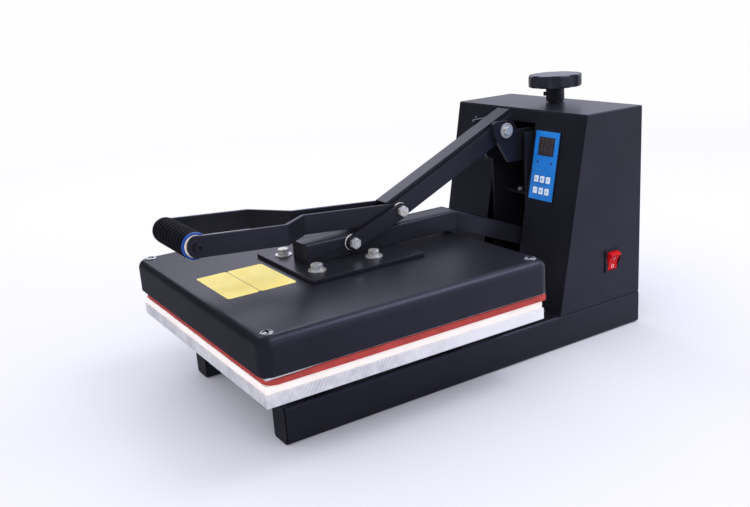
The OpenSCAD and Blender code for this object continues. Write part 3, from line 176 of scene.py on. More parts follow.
finishes = {
    # black polyester powder coat, sprayed and baked: satin, deep, with a faint orange peel.
    # The peel is about 0.8 mm across and is drawn at 2 mm, so that it shows
    "powder_coat_black": finish("powderCoat", "#17171d", "#1e1e25", 70, 2.0, 0.06, (0.28, 0.38), shine="#d8daff"),
    # sawn and milled aluminium plate: bright grey, cloudy, matt
    "milled_aluminium": finish("milledAluminium", "#cdcdd5", "#efeff3", 14, 1.4, 0.06, (0.45, 0.60), metal=0.35),
    # white silicone sponge sheet, knife cut: matt, warm white, full of pores. Pores of 0.4 mm are drawn at 1.3 mm
    "white_foam": finish("siliconeSponge", "#f1e5dd", "#faf2eb", 30, 1.3, 0.08, (0.80, 0.95), pores=True, sheen=0.2),
    # calendered red silicone sheet: smooth, slightly waxy
    "red_silicone": finish("redSilicone", "#a22f2b", "#bb3d36", 26, 1.8, 0.04, (0.46, 0.58), under=0.12),
    # zinc plated and passivated steel: bright, with a breath of yellow
    "zinc_steel": finish("zincSteel", "#c2c6cd", "#f0f1f3", 5, 0.9, 0.02, (0.20, 0.34), metal=0.65,
                         tint=("#d8bf62", 7, 0.45)),
    # ground shaft steel: grey, fine rings of grinding
    "ground_steel": finish("groundSteel", "#85868c", "#a9aab0", 8, 1.0, 0.02, (0.24, 0.36), metal=1.0,
                           stretch=(1, 0.15, 0.15)),
    # moulded black thermoset: gloss with a soft skin
    "black_plastic": finish("mouldedBlack", "#14141b", "#1d1d25", 20, 1.1, 0.02, (0.22, 0.32), shine="#d8daff"),
    # the same thermoset on the knob, moulded with a fine grain; its colour is lifted to a lighter grey as a painted
    # highlight on the lobes and top
    "knob_plastic_painted_highlight": finish("mouldedKnobPaintedHighlight", "#202028", "#2e2e38", 14, 1.0, 0.03, (0.20, 0.32), shine="#d8daff"),
    # screen printed polyester film: even blue, satin, fine pebble
    "blue_overlay": finish("blueFilm", "#0d72ca", "#1682dd", 18, 0.9, 0.02, (0.34, 0.44)),
    # smoked acrylic over an unlit display: brown black and glossy
    "dark_display": finish("smokedAcrylic", "#2a272d", "#353239", 6, 1.0, 0.01, (0.10, 0.20)),
    # red lamp lens, unlit: dark and clear
    "red_lamp": finish("redLens", "#3a1512", "#5a1d18", 2, 0.6, 0.01, (0.08, 0.16), under=0.2),
    # glass epoxy board with green solder mask
    "green_board": finish("epoxyBoard", "#1c4a27", "#2f7040", 3, 0.8, 0.03, (0.30, 0.45)),
    # grey moulded relay case
    "grey_plastic": finish("greyMoulding", "#b9b9b3", "#cdcdc8", 20, 0.9, 0.03, (0.40, 0.52)),
    # white keycaps, their colour tinted a little blue as painted reflected light from the film round them
    "white_key": finish("whiteKeyBlueBounce", "#dce6f2", "#f1f5fa", 6, 0.7, 0.02, (0.34, 0.44), under=0.1),
    # tinted polycarbonate rocker: clear red skin with depth
    "red_rocker": finish("redRocker", "#ae0910", "#c8121a", 9, 0.8, 0.01, (0.42, 0.52), under=0.2, shine="#ff5a5a"),
    # closed cell nitrile foam: black, dull and porous. Cells of 0.3 mm are drawn at 1 mm
    "black_foam": finish("blackFoam", "#050509", "#0c0c14", 8, 1.0, 0.12, (0.70, 0.90), pores=True, sheen=0.02,
                         shine="#5c5c86"),
    # nickel plate on the cover's screws, scuffed by the driver
    "nickel_plate": finish("nickelPlate", "#a2a3ab", "#eeeef4", 3, 1.6, 0.12, (0.22, 0.40), metal=0.9),
    # moulded blue polypropylene
    "blue_plastic": finish("bluePlastic", "#0c3b87", "#144ea2", 12, 0.9, 0.02, (0.30, 0.42), under=0.08),
    # cream fibre washer
    "cream_plastic": finish("creamFibre", "#d8ccb4", "#efe6d3", 6, 0.8, 0.03, (0.48, 0.62)),
    # turned white nylon: waxy
    "white_nylon": finish("whiteNylon", "#dedcd4", "#f4f2ec", 6, 0.8, 0.02, (0.36, 0.48), under=0.15),
    # black oxide on a socket screw: oily dark
    "black_steel": finish("blackOxide", "#232328", "#38383f", 4, 0.8, 0.02, (0.30, 0.42), metal=0.7),
    # heater sheath, heat tinted
    "sheathed_element": finish("heaterSheath", "#4f4a46", "#7d746c", 20, 1.2, 0.03, (0.36, 0.50), metal=0.8),
    # mineral wool board
    "mineral_wool": finish("mineralWool", "#cfc5ae", "#eae2d0", 10, 2.0, 0.4, (0.9, 1.0), pores=True),
    # yellow vinyl label, plain
    "label": finish("yellowVinyl", "#ecd664", "#f4e484", 30, 1.2, 0.01, (0.34, 0.44)),
    # unlit segments behind the acrylic
    "segments": finish("unlitSegments", "#463c3a", "#524743", 2, 0.6, 0.01, (0.30, 0.40)),
    # pale prints on the keys and the rocker
    "marks": finish("palePrint", "#6aa6e0", "#8abbe8", 2, 0.6, 0.01, (0.40, 0.50)),
    "rockerMarks": finish("rosePrint", "#e2aeb9", "#f2d2d9", 2, 0.6, 0.01, (0.30, 0.40)),
}


def makeFinish(look):
    made = bpy.data.materials.new(look["name"])
    made.use_nodes = True
    tree = made.node_tree
    shader = tree.nodes["Principled BSDF"]
    fixed = {"Metallic": look.get("metal", 0.0), "Sheen Weight": look.get("sheen", 0.0),
             "Specular Tint": linear(look.get("shine", "#ffffff"))}
    if "under" in look:  # light that enters the piece and comes out again
        fixed |= {"Subsurface Weight": look["under"], "Subsurface Radius": (1.0, 0.5, 0.4), "Subsurface Scale": 2 * mm}
    for key, value in fixed.items():
        shader.inputs[key].default_value = value
    place = addNode(tree, "ShaderNodeTexCoord").outputs["Object"]
    spread = ramp(tree, noise(tree, place, look["patch"], 4.0, 0.6), 0.3, 0.7)
    colour = blend(tree, spread, linear(look["dark"]), linear(look["light"]))
    if "tint" in look:
        tone, size, most = look["tint"]
        colour = blend(tree, ramp(tree, noise(tree, place, size, 2.0), 0.5, 0.75, 0.0, most), colour, linear(tone))
    tree.links.new(colour, shader.inputs["Base Color"])
    run = addNode(tree, "ShaderNodeMapping", {"Vector": place, "Scale": look.get("stretch", (1, 1, 1))})
    if "pores" in look:
        cells = addNode(tree, "ShaderNodeTexVoronoi", {"Vector": run, "Scale": 1000 / look["grain"]})
        grain = cells.outputs["Distance"]
    else:
        grain = noise(tree, run, look["grain"], 2.0)
    tree.links.new(ramp(tree, grain, 0.25, 0.75, *look["rough"]), shader.inputs["Roughness"])
    relief = addNode(tree, "ShaderNodeBump", {"Strength": 1.0, "Distance": look["depth"] * mm, "Height": grain})
    tree.links.new(relief.outputs["Normal"], shader.inputs["Normal"])
    return made


looks = {key: makeFinish(look) for key, look in finishes.items()}


# the saw leaves slanting marks on the aluminium's two sides: lines 4.4 mm apart, worn away in patches.
# They fade, and the metal's colour is lightened as painted light, over these shares of the depth from front to rear
sawLook = {"spacing": 4.4, "slant": 32, "depth": 0.06, "shade": "#b4b3c0", "shadeShare": 0.5, "patch": 45,
           "worn": (0.42, 0.62), "fade": (0.4, 0.75), "left": 0.15, "bright": "#f6f6fa"}


def addSawMarks():
    tree = looks["milled_aluminium"].node_tree
    shader = tree.nodes["Principled BSDF"]
    coords = addNode(tree, "ShaderNodeTexCoord").outputs
    place = coords["Object"]
    onSide = ramp(tree, calc(tree, "ABSOLUTE", separate(tree, coords["Normal"])["X"]), 0.6, 0.9)
    tilt = (math.radians(sawLook["slant"]), 0, 0)
    tilted = addNode(tree, "ShaderNodeMapping", {"Vector": place, "Rotation": tilt})
    ownLines = 20 / math.tau  # the wave node's lines in a metre, at scale 1
    lines = addNode(tree, "ShaderNodeTexWave", {
        "bands_direction": "Y", "Vector": tilted, "Scale": 1000 / sawLook["spacing"] / ownLines,
        "Distortion": 1.6, "Detail": 2.0, "Detail Scale": 1.5}).outputs["Fac"]
    unworn = ramp(tree, noise(tree, place, sawLook["patch"], 3.0), *sawLook["worn"])
    low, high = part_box("bed_plate")
    start, end = (low.y + (high.y - low.y) * share for share in sawLook["fade"])
    ahead = ramp(tree, separate(tree, place)["Y"], start, end, 1.0, sawLook["left"])
    kept = calc(tree, "MULTIPLY", calc(tree, "MULTIPLY", unworn, ahead), onSide)
    marks = calc(tree, "MULTIPLY", lines, kept)
    plain = shader.inputs["Base Color"].links[0].from_socket
    # painted light: the plain colour is blended towards the pale tone towards the rear
    base = blend(tree, calc(tree, "SUBTRACT", 1.0, ahead), plain, linear(sawLook["bright"]))
    shaded = blend(tree, calc(tree, "MULTIPLY", marks, sawLook["shadeShare"]), base, linear(sawLook["shade"]))
    tree.links.new(shaded, shader.inputs["Base Color"])
    cut = addNode(tree, "ShaderNodeBump", {"Strength": 1.0, "Distance": sawLook["depth"] * mm, "Height": marks,
                                           "Normal": shader.inputs["Normal"].links[0].from_socket})
    tree.links.new(cut.outputs["Normal"], shader.inputs["Normal"])


addSawMarks()
print("finishes made:", len(looks))


# camera at the photograph's angle; the focal length is in pixels of a frame of this width
shot = {"place": (0.94878, -0.62498, 0.48395), "azimuth": 58.53, "elevation": 16.66, "roll": -4.01, "focal": 877.44,
        "width": 750, "sensor": 36}


def makeCamera():
    a, e, r = (math.radians(shot[key]) for key in ("azimuth", "elevation", "roll"))
    back = Vector((math.sin(a) * math.cos(e), -math.cos(a) * math.cos(e), math.sin(e)))
    level = (-back).cross(Vector((0, 0, 1))).normalized()
    upright = level.cross(-back)
    across = math.cos(r) * level + math.sin(r) * upright
    above = -math.sin(r) * level + math.cos(r) * upright
    lens = bpy.data.cameras.new("camera")
    lens.sensor_width = shot["sensor"]
    lens.lens = shot["focal"] * shot["sensor"] / shot["width"]
    camera = bpy.data.objects.new("camera", lens)
    camera.matrix_world = Matrix.Translation(shot["place"]) @ Matrix((across, above, back)).transposed().to_4x4()
    bpy.context.scene.collection.objects.link(camera)
    bpy.context.scene.camera = camera


# soft studio light: boxes of light (watts, width, place, aim, tone) and a pale room, brighter in front for
# what is matt; gloss sees a white wall behind the press, a dim room elsewhere and a darker floor
studio = {"boxes": {"overhead": (15.0, 1.2, (0.7, 1.1, 2.0), (0.0, 0.05, 0.15), "#f4f4ff"),
                    "left": (9.0, 1.3, (-1.7, 0.2, 1.4), (0.0, 0.05, 0.2), "#f4f4ff"),
                    "right": (3.5, 1.2, (2.0, 0.2, 1.3), (0.0, 0.05, 0.15), "#f6f6ff")},
          "room": (0.55, 1.70), "roomWay": (0.45, -0.88, 0.15), "roomTone": "#fafaff", "backdrop": "#fefeff",
          "wall": "#ebebff", "dim": "#2a2a33", "wallWay": (0.0, 1.0, 0.0), "wallEdge": (0.12, 0.75)}

# seamless paper: matt, lost in the backdrop further off, and dark where gloss sees it, most at the front
floorLook = {"half": 14, "under": 0.3, "near": "#d9d9e1", "fade": (0.9, 2.4), "dark": "#101014",
             "darkFrom": (-0.35, 0.30), "darkShare": (0.85, 0.40)}


def makeStudio():
    for name, (watts, size, place, aim, tone) in studio["boxes"].items():
        lamp = bpy.data.lights.new(name, "AREA")
        lamp.energy, lamp.size, lamp.color = watts, size, linear(tone)[:3]
        holder = bpy.data.objects.new(name, lamp)
        turn = (Vector(aim) - Vector(place)).to_track_quat("-Z", "Y")
        holder.matrix_world = Matrix.Translation(place) @ turn.to_matrix().to_4x4()
        bpy.context.scene.collection.objects.link(holder)
    world = bpy.data.worlds.new("studio")
    world.use_nodes = True
    bpy.context.scene.world = world
    tree = world.node_tree
    tree.nodes.clear()
    rays = addNode(tree, "ShaderNodeLightPath").outputs
    ways = addNode(tree, "ShaderNodeTexCoord").outputs["Generated"]

    def towards(way):
        return addNode(tree, "ShaderNodeVectorMath", {"operation": "DOT_PRODUCT", 0: ways, 1: way}).outputs["Value"]

    lit = ramp(tree, towards(studio["wallWay"]), *studio["wallEdge"], kind="SMOOTHSTEP")
    gloss = blend(tree, lit, linear(studio["dim"]), linear(studio["wall"]))
    tone = blend(tree, rays["Is Camera Ray"], gloss, linear(studio["backdrop"]))
    shown = addNode(tree, "ShaderNodeBackground", {"Strength": 1.0, "Color": tone})
    fill = ramp(tree, towards(studio["roomWay"]), -1.0, 1.0, *studio["room"])
    room = addNode(tree, "ShaderNodeBackground", {"Color": linear(studio["roomTone"]), "Strength": fill})
    sharp = calc(tree, "MAXIMUM", rays["Is Camera Ray"], rays["Is Glossy Ray"])
    clear = calc(tree, "MAXIMUM", sharp, rays["Is Transmission Ray"])
    both = addNode(tree, "ShaderNodeMixShader", {0: clear, 1: room, 2: shown})
    addNode(tree, "ShaderNodeOutputWorld", {"Surface": both})


def makeFloor():
    work = bmesh.new()
    bmesh.ops.create_grid(work, x_segments=2, y_segments=2, size=floorLook["half"])
    bmesh.ops.translate(work, verts=work.verts, vec=(0, 0, -floorLook["under"] * mm))
    paint = bpy.data.materials.new("palePaper")
    paint.use_nodes = True
    tree = paint.node_tree
    tree.nodes.clear()
    place = addNode(tree, "ShaderNodeTexCoord").outputs["Object"]
    rays = addNode(tree, "ShaderNodeLightPath").outputs
    away = addNode(tree, "ShaderNodeVectorMath", {"operation": "LENGTH", 0: place}).outputs["Value"]
    seen = calc(tree, "MAXIMUM", rays["Is Camera Ray"], rays["Is Glossy Ray"])
    share = calc(tree, "MULTIPLY", ramp(tree, away, *floorLook["fade"], kind="SMOOTHSTEP"), seen)
    paper = addNode(tree, "ShaderNodeBsdfDiffuse", {"Color": linear(floorLook["near"])})
    glow = addNode(tree, "ShaderNodeEmission", {"Color": linear(studio["backdrop"]), "Strength": 1.0})
    both = addNode(tree, "ShaderNodeMixShader", {0: share, 1: paper, 2: glow})
    shade = ramp(tree, separate(tree, place)["Y"], *floorLook["darkFrom"], *floorLook["darkShare"])
    inGloss = calc(tree, "MULTIPLY", shade, rays["Is Glossy Ray"])
    dark = addNode(tree, "ShaderNodeBsdfDiffuse", {"Color": linear(floorLook["dark"])})
    final = addNode(tree, "ShaderNodeMixShader", {0: inGloss, 1: both, 2: dark})
    addNode(tree, "ShaderNodeOutputMaterial", {"Surface": final})
    newPiece("floor", toMesh(work, "floor"), paint)


makeCamera()
makeStudio()
makeFloor()
bpy.context.scene.view_settings.view_transform = "Standard"
print("camera, studio and floor made")


# rigid pieces: each CAD node with its edges rounded, by a width in mm
edgeWidth = {
    "base_tubes": 0.6, "tube_end_caps": 1.2, "cross_bars": 0.8, "bed_plate": 0.7, "tower_floor": 0.5,
    "columns": 0.8, "column_brace": 0.6, "spindle_bridge": 0.6, "hinge_shaft": 0.5, "panel_housing": 0.25,
    "panel_overlay": 0.15, "display_window": 0.2, "indicator_lamps": 0.4, "circuit_board": 0.2, "relay": 0.6,
    "switch_housing": 0.5, "fuse_holder": 0.5, "cable_gland": 0.5, "rocker": 0.7, "yoke": 0.35,
    "pressure_knob": 0.6, "pressure_screw": 0.4, "lever_bars": 0.8, "lever_channel": 0.7, "grip_tube": 0.3,
    "grip_rings": 1.2, "grip_washers": 0.3, "grip_bolts": 0.6, "mount_plate": 0.9, "heat_platen": 0.5,
    "heating_element": 0.0, "insulation": 1.0, "platen_cover": 0.0, "temperature_sensor": 0.3,
    "toggle_links": 0.7, "nylon_washers": 0.25, **{f"button_{i}": 0.5 for i in range(1, 7)},
}

# the knob stands turned about its own axis, by degrees; its stem, this far below the top in mm, keeps the plain glossy
# black, while the knob above it wears the lighter finish of painted highlight
knobLook = {"turn": 45, "rim": 17.5}
knobLow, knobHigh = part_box("pressure_knob")
knobAxis = Matrix.Translation((knobLow + knobHigh) / 2)
knobTurn = knobAxis @ Matrix.Rotation(math.radians(knobLook["turn"]), 4, "Z") @ knobAxis.inverted()
# what is black on a piece of two finishes; the far grip ring is a black one
blackShare = {"grip_rings": lambda spot: spot.x < 0,
              "pressure_knob": lambda spot: spot.z < knobHigh.z - knobLook["rim"] * mm}

# the bars end close to the grip's bolt, and the bolt's head is small: shares of the CAD's lengths
handleLook = {"barEnd": 0.86, "boltHead": 0.8}
gripMiddle = sum(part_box("foam_grip"), Vector()) / 2


def trimHandle(node, mesh):
    for vert in mesh.vertices:
        away = vert.co - gripMiddle
        if node == "lever_bars" and away.y < 0:
            vert.co.y = gripMiddle.y + away.y * handleLook["barEnd"]
        if node == "grip_bolts":
            vert.co.y = gripMiddle.y + away.y * handleLook["boltHead"]
            vert.co.z = gripMiddle.z + away.z * handleLook["boltHead"]


for node, width in edgeWidth.items():
    # the knob takes its lighter finish, which is painted highlight
    material = looks["knob_plastic_painted_highlight" if node == "pressure_knob" else slotOf[node]]
    piece = newPiece(pieceName(node), toMesh(copyNode(node, width > 0), node), material)
    trimHandle(node, piece.data)
    if bodyOf[node] == "knob":
        piece.data.transform(knobTurn)
    softenEdges(piece, width)
    if node in blackShare:
        piece.data.materials.append(looks["black_plastic"])
        for face in piece.data.polygons:
            face.material_index = int(blackShare[node](face.center))
    settle(piece, bodyOf[node], slotOf[node], node)
print("rigid pieces dressed:", len(edgeWidth))


# pieces with two kinds of edge: bends or drawn corners that a rule names, and edges that are only broken; radii in mm
bendLook = {**{"tower_" + side: (1.9, 0.4) for side in ("front", "left", "right", "top", "back")},
            "swing_plates": (3.2, 0.8), "swing_box": (1.2, 0.5)}
onFace, onSlope = 0.2 * mm, 0.3 * mm  # how close a point has to be to lie on an outer face


def makeTowerRule():
    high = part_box("tower_right")[1]
    lowFront = min((v.co for v in nodes["tower_front"].data.vertices), key=lambda c: (round(c.z, 5), c.y))
    topFront = min((v.co for v in nodes["tower_top"].data.vertices), key=lambda c: c.y)
    slope = Vector((0, topFront.z - lowFront.z, lowFront.y - topFront.y)).normalized()

    def outerFaces(co):
        off = {"side": abs(co.x) - high.x, "top": co.z - high.z, "back": co.y - high.y}
        found = {name for name, gap in off.items() if abs(gap) < onFace}
        if abs((co - Vector((co.x, lowFront.y, lowFront.z))).dot(slope)) < onSlope:
            found.add("front")
        return found

    return lambda edge: len(outerFaces(edge.verts[0].co) & outerFaces(edge.verts[1].co)) > 1


# the arm's tube: its top edges and its front end are drawn round
def drawnCorner(edge):
    ways = [face.normal for face in edge.link_faces]
    outside = any(way.x * edge.verts[0].co.x > 0 and abs(way.x) > 0.7 for way in ways)
    return outside and any(way.z > 0.9 or way.y < -0.9 for way in ways)


def dressBends():
    towerRule = makeTowerRule()
    for node, (bend, broken) in bendLook.items():
        rule = towerRule if node.startswith("tower") else drawnCorner
        work = copyNode(node, node != "swing_plates")
        work.normal_update()
        weight = work.edges.layers.float.new("bevel_weight_edge")
        for edge in work.edges:
            if len(edge.link_faces) == 2 and edge.calc_face_angle(0) > math.radians(30):
                edge[weight] = 1.0 if rule(edge) else broken / bend
        piece = newPiece(pieceName(node), toMesh(work, node), looks[slotOf[node]])
        softenEdges(piece, bend, steps=3, weighted=True)
        settle(piece, bodyOf[node], slotOf[node], node)


dressBends()
print("bent pieces dressed:", len(bendLook))


# Geometry Nodes: one tree makes a part at the origin, pointing along Z, and sets a copy at every point

def newTree(name, sizes):
    tree = bpy.data.node_groups.new(name, "GeometryNodeTree")
    tree.interface.new_socket("Geometry", in_out="INPUT", socket_type="NodeSocketGeometry")
    for label in sizes:
        tree.interface.new_socket(label, in_out="INPUT", socket_type="NodeSocketFloat")
    tree.interface.new_socket("Finish", in_out="INPUT", socket_type="NodeSocketMaterial")
    tree.interface.new_socket("Geometry", in_out="OUTPUT", socket_type="NodeSocketGeometry")
    return tree, addNode(tree, "NodeGroupInput").outputs


def closeTree(tree, given, parts):
    whole = addNode(tree, "GeometryNodeJoinGeometry", {0: parts})
    turn = addNode(tree, "GeometryNodeInputNamedAttribute", {"data_type": "FLOAT_VECTOR", "Name": "turn"})
    spun = addNode(tree, "FunctionNodeEulerToRotation", {"Euler": turn.outputs["Attribute"]})
    copies = addNode(tree, "GeometryNodeInstanceOnPoints", {
        "Points": given["Geometry"], "Instance": whole, "Rotation": spun})
    real = addNode(tree, "GeometryNodeRealizeInstances", {"Geometry": copies})
    painted = addNode(tree, "GeometryNodeSetMaterial", {"Geometry": real, "Material": given["Finish"]})
    addNode(tree, "NodeGroupOutput", {"Geometry": painted})
    return tree


def moved(tree, part, z):
    return addNode(tree, "GeometryNodeTransform", {"Geometry": part, "Translation": combine(tree, z=z)})


def tubeOf(tree, sides, radius, depth, **more):
    settings = {**more, "Vertices": sides, "Radius": radius, "Depth": depth}
    return addNode(tree, "GeometryNodeMeshCylinder", settings)


# the shank reaches into the head, by mm
def shankOf(tree, given, sides, into):
    length = given["Shank length"]
    rod = tubeOf(tree, sides, given["Shank radius"], length)
    return moved(tree, rod, calc(tree, "MULTIPLY_ADD", length, -0.5, into * mm))


# the turn of a part whose Z points a way and that is twisted about it by degrees
def aimed(way, twist):
    return Vector(way).to_track_quat("Z", "Y").to_matrix() @ Matrix.Rotation(math.radians(twist), 3, "Z")


# a part of the tree at each place: (position in m, turn); sizes in mm
def growPiece(name, tree, places, sizes, material):
    mesh = bpy.data.meshes.new(name)
    mesh.from_pydata([spot for spot, turn in places], [], [])
    turns = mesh.attributes.new("turn", "FLOAT_VECTOR", "POINT")
    for item, (spot, turn) in zip(turns.data, places):
        item.vector = turn.to_euler()
    piece = newPiece(name, mesh)
    grow = piece.modifiers.new("grow", "NODES")
    grow.node_group = tree
    for item in tree.interface.items_tree:
        if item.item_type == "SOCKET" and item.in_out == "INPUT" and item.name != "Geometry":
            grow[item.identifier] = material if item.name == "Finish" else sizes[item.name] * mm
    bakeModifiers(piece)
    piece.data.materials.clear()  # the nodes leave an empty slot before the finish
    piece.data.materials.append(material)
    work = bmesh.new()
    work.from_mesh(piece.data)
    bmesh.ops.remove_doubles(work, verts=work.verts, dist=2e-6)
    bmesh.ops.recalc_face_normals(work, faces=work.faces)
    work.to_mesh(piece.data)
    work.free()
    return piece


# hexagon bolts with their washers: the seat is at Z = 0 and the head above it; sizes in mm,
# a washer by its radius and thickness
def bolt(radius, height, shank, length, washer=(0, 0), split=(0, 0)):
    return {"Head radius": radius, "Head height": height, "Shank radius": shank, "Shank length": length,
            "Washer radius": washer[0], "Washer thickness": washer[1],
            "Split radius": split[0], "Split thickness": split[1]}


boltLooks = {
    "mount_bolts": bolt(7.5, 5.4, 4, 40, washer=(11.2, 1.6), split=(7.2, 2.2)),
    "frame_bolts": bolt(7.5, 5.4, 4, 9),
    "brace": bolt(3.8, 3.0, 2, 4),
    "knee_bolts": bolt(7.5, 5.5, 5, 6.9),
    "arm_pivot_bolt": bolt(7.5, 5.2, 5, 25.2),
    "lever_pivot_bolt": bolt(6.4, 3.2, 6, 24.8, washer=(10.5, 1.8)),
}
# rounding of a washer's edges, sweep of a cut spring washer, and the cone that chamfers a head
boltShape = {"ease": 0.25, "sweep": 346, "crown": 0.80, "flare": 1.73}
# each group of fasteners: rounding of the edges in mm, turn of the first one in degrees, and the step to each next
groupLooks = {"mount_bolts": (0.25, 17, 23), "frame_bolts": (0.2, 11, 19), "brace": (0.2, 0, 40),
              "pivots": (0.25, 22, -28), "cover_screws": (0.12, 25, 31), "tower_screws": (0.1, 0, 20),
              "front_screw": (0.1, 35, 0)}


def twist(group, i=0):
    edge, turn, step = groupLooks[group]
    return turn + step * i


def hexBoltTree(name, *washers):
    tree, given = newTree(name, boltLooks["brace"])
    radius, height, shank = (given[key] for key in ("Head radius", "Head height", "Shank radius"))
    parts, seat = [], 0.0
    for label in washers:
        outer, thick = given[label + " radius"], given[label + " thickness"]
        middle = calc(tree, "MULTIPLY", calc(tree, "ADD", outer, shank), 0.5)
        if label == "Split":
            path = addNode(tree, "GeometryNodeCurveArc", {
                "Resolution": 36, "Sweep Angle": math.radians(boltShape["sweep"]), "Radius": middle})
        else:
            path = addNode(tree, "GeometryNodeCurvePrimitiveCircle", {"Resolution": 40, "Radius": middle})
        section = addNode(tree, "GeometryNodeCurvePrimitiveQuadrilateral", {
            "Width": calc(tree, "SUBTRACT", outer, shank), "Height": thick})
        eased = addNode(tree, "GeometryNodeFilletCurve", {
            "mode": "POLY", "Count": 2, "Radius": boltShape["ease"] * mm, "Limit Radius": True,
            "Curve": section})
        ring = addNode(tree, "GeometryNodeCurveToMesh", {
            "Fill Caps": True, "Curve": path, "Profile Curve": eased})
        parts.append(moved(tree, ring, calc(tree, "MULTIPLY_ADD", thick, 0.5, seat)))
        seat = calc(tree, "ADD", seat, thick)
    # the head: a hexagon cut by a flat cone, which leaves the curved chamfers of a forged head
    hexagon = moved(tree, tubeOf(tree, 6, radius, height), calc(tree, "MULTIPLY_ADD", height, 0.5, seat))
    crown = calc(tree, "MULTIPLY", radius, boltShape["crown"])
    skirt = calc(tree, "MULTIPLY_ADD", height, boltShape["flare"], crown)
    cone = addNode(tree, "GeometryNodeMeshCone", {
        "Vertices": 48, "Radius Top": crown, "Radius Bottom": skirt, "Depth": height})
    head = addNode(tree, "GeometryNodeMeshBoolean", {
        "operation": "INTERSECT", "solver": "EXACT", 1: [hexagon, moved(tree, cone, seat)]})
    return closeTree(tree, given, parts + [head, shankOf(tree, given, sides=24, into=0.5)])


# vertices of each separate solid
def solidsOf(work):
    left, found = dict.fromkeys(work.verts), []
    while left:
        todo, part = [left.popitem()[0]], []
        while todo:
            vert = todo.pop()
            part.append(vert)
            for other in (edge.other_vert(vert) for edge in vert.link_edges):
                if other in left:
                    del left[other]
                    todo.append(other)
        found.append(part)
    return found


# lowest and highest corner of each solid in a node, in a fixed order, so that a fastener keeps its turn
def solidBoxes(node):
    work = copyNode(node)
    spots = [[vert.co.copy() for vert in part] for part in solidsOf(work)]
    work.free()
    boxes = [(Vector(map(min, zip(*part))), Vector(map(max, zip(*part)))) for part in spots]
    return sorted(boxes, key=lambda box: [round(value / mm, 1) for value in box[0]])


def overMiddle(lo, hi, z):
    return (lo.x + hi.x) / 2, (lo.y + hi.y) / 2, z


def joinInto(piece, extra):
    work = bmesh.new()
    work.from_mesh(piece.data)
    work.from_mesh(extra.data)
    work.to_mesh(piece.data)
    work.free()
    bpy.data.objects.remove(extra)


up, down = (0, 0, 1), (0, 0, -1)
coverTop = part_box("platen_cover")[1].z


def makeBolts():
    plain = hexBoltTree("hexBolt")
    washed = hexBoltTree("hexBoltWasher", "Washer")
    sprung = hexBoltTree("hexBoltSpring", "Washer", "Split")
    zinc = looks["zinc_steel"]

    # the head's four bolts stand on the mount plate; the spacers under the cover stay as they are
    belowPlate, belowCover = 2 * mm, 0.8 * mm
    sizes = boltLooks["mount_bolts"]
    stack = (sizes["Head height"] + sizes["Washer thickness"] + sizes["Split thickness"]) * mm
    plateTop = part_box("mount_plate")[1].z
    seats = [overMiddle(lo, hi, hi.z - stack) for lo, hi in solidBoxes("mount_bolts")]
    seats = [seat for seat in seats if seat[2] > plateTop - belowPlate]
    places = [(seat, aimed(up, twist("mount_bolts", i))) for i, seat in enumerate(seats)]
    piece = growPiece("mountBolts", sprung, places, sizes, zinc)
    spacers = copyNode("mount_bolts")
    grown = [part for part in solidsOf(spacers) if max(vert.co.z for vert in part) > coverTop - belowCover]
    bmesh.ops.delete(spacers, geom=sum(grown, []), context="VERTS")
    joinInto(piece, newPiece("spacers", toMesh(spacers, "spacers"), zinc))
    softenEdges(piece, groupLooks["mount_bolts"][0])
    settle(piece, "arm", "zinc_steel", "mount_bolts")

    # bed bolts point down, foot bolts and the brace's small bolts up
    boxes, smallest = solidBoxes("frame_bolts"), 10 * mm
    big = [(lo, hi) for lo, hi in boxes if hi.x - lo.x > smallest]
    small = [(lo, hi) for lo, hi in boxes if hi.x - lo.x <= smallest]
    bedTop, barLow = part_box("bed_plate")[1].z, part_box("cross_bars")[0].z
    head = boltLooks["frame_bolts"]["Head height"] * mm
    places = []
    for i, (lo, hi) in enumerate(big):
        hangs = hi.z < bedTop and lo.z < barLow
        seat = overMiddle(lo, hi, lo.z + head if hangs else hi.z - head)
        places.append((seat, aimed(down if hangs else up, twist("frame_bolts", i))))
    piece = growPiece("frameBolts", plain, places, boltLooks["frame_bolts"], zinc)
    head = boltLooks["brace"]["Head height"] * mm
    places = [(overMiddle(lo, hi, hi.z - head), aimed(up, twist("brace", i))) for i, (lo, hi) in enumerate(small)]
    joinInto(piece, growPiece("braceBolts", plain, places, boltLooks["brace"], zinc))
    softenEdges(piece, groupLooks["frame_bolts"][0])
    settle(piece, "base", "zinc_steel", "frame_bolts")

    # pivots: a head on both sides
    for node, tree in (("knee_bolts", plain), ("arm_pivot_bolt", plain), ("lever_pivot_bolt", washed)):
        lo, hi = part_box(node)
        sizes = boltLooks[node]
        x = hi.x - (sizes["Head height"] + sizes["Washer thickness"]) * mm
        y, z = (lo.y + hi.y) / 2, (lo.z + hi.z) / 2
        places = [((side * x, y, z), aimed((side, 0, 0), twist("pivots", i))) for i, side in enumerate((1, -1))]
        piece = growPiece(pieceName(node), tree, places, sizes, zinc)
        softenEdges(piece, groupLooks["pivots"][0])
        settle(piece, bodyOf[node], "zinc_steel", node)


makeBolts()
print("bolts made")


# pan head screws with a cross recess; sizes in mm
screwLooks = {"cover_screws": {"Radius": 7.2, "Height": 2.6, "Edge": 1.2, "Cross": 9.8, "Slot": 2.8, "Recess": 2.2,
                               "Shank radius": 3.6, "Shank length": 6},
              "tower_screws": {"Radius": 3.6, "Height": 2.0, "Edge": 1.0, "Cross": 3.8, "Slot": 0.9, "Recess": 1.2,
                               "Shank radius": 1.8, "Shank length": 5}}
domePower = 2.2  # how flat the head's dome is in the middle


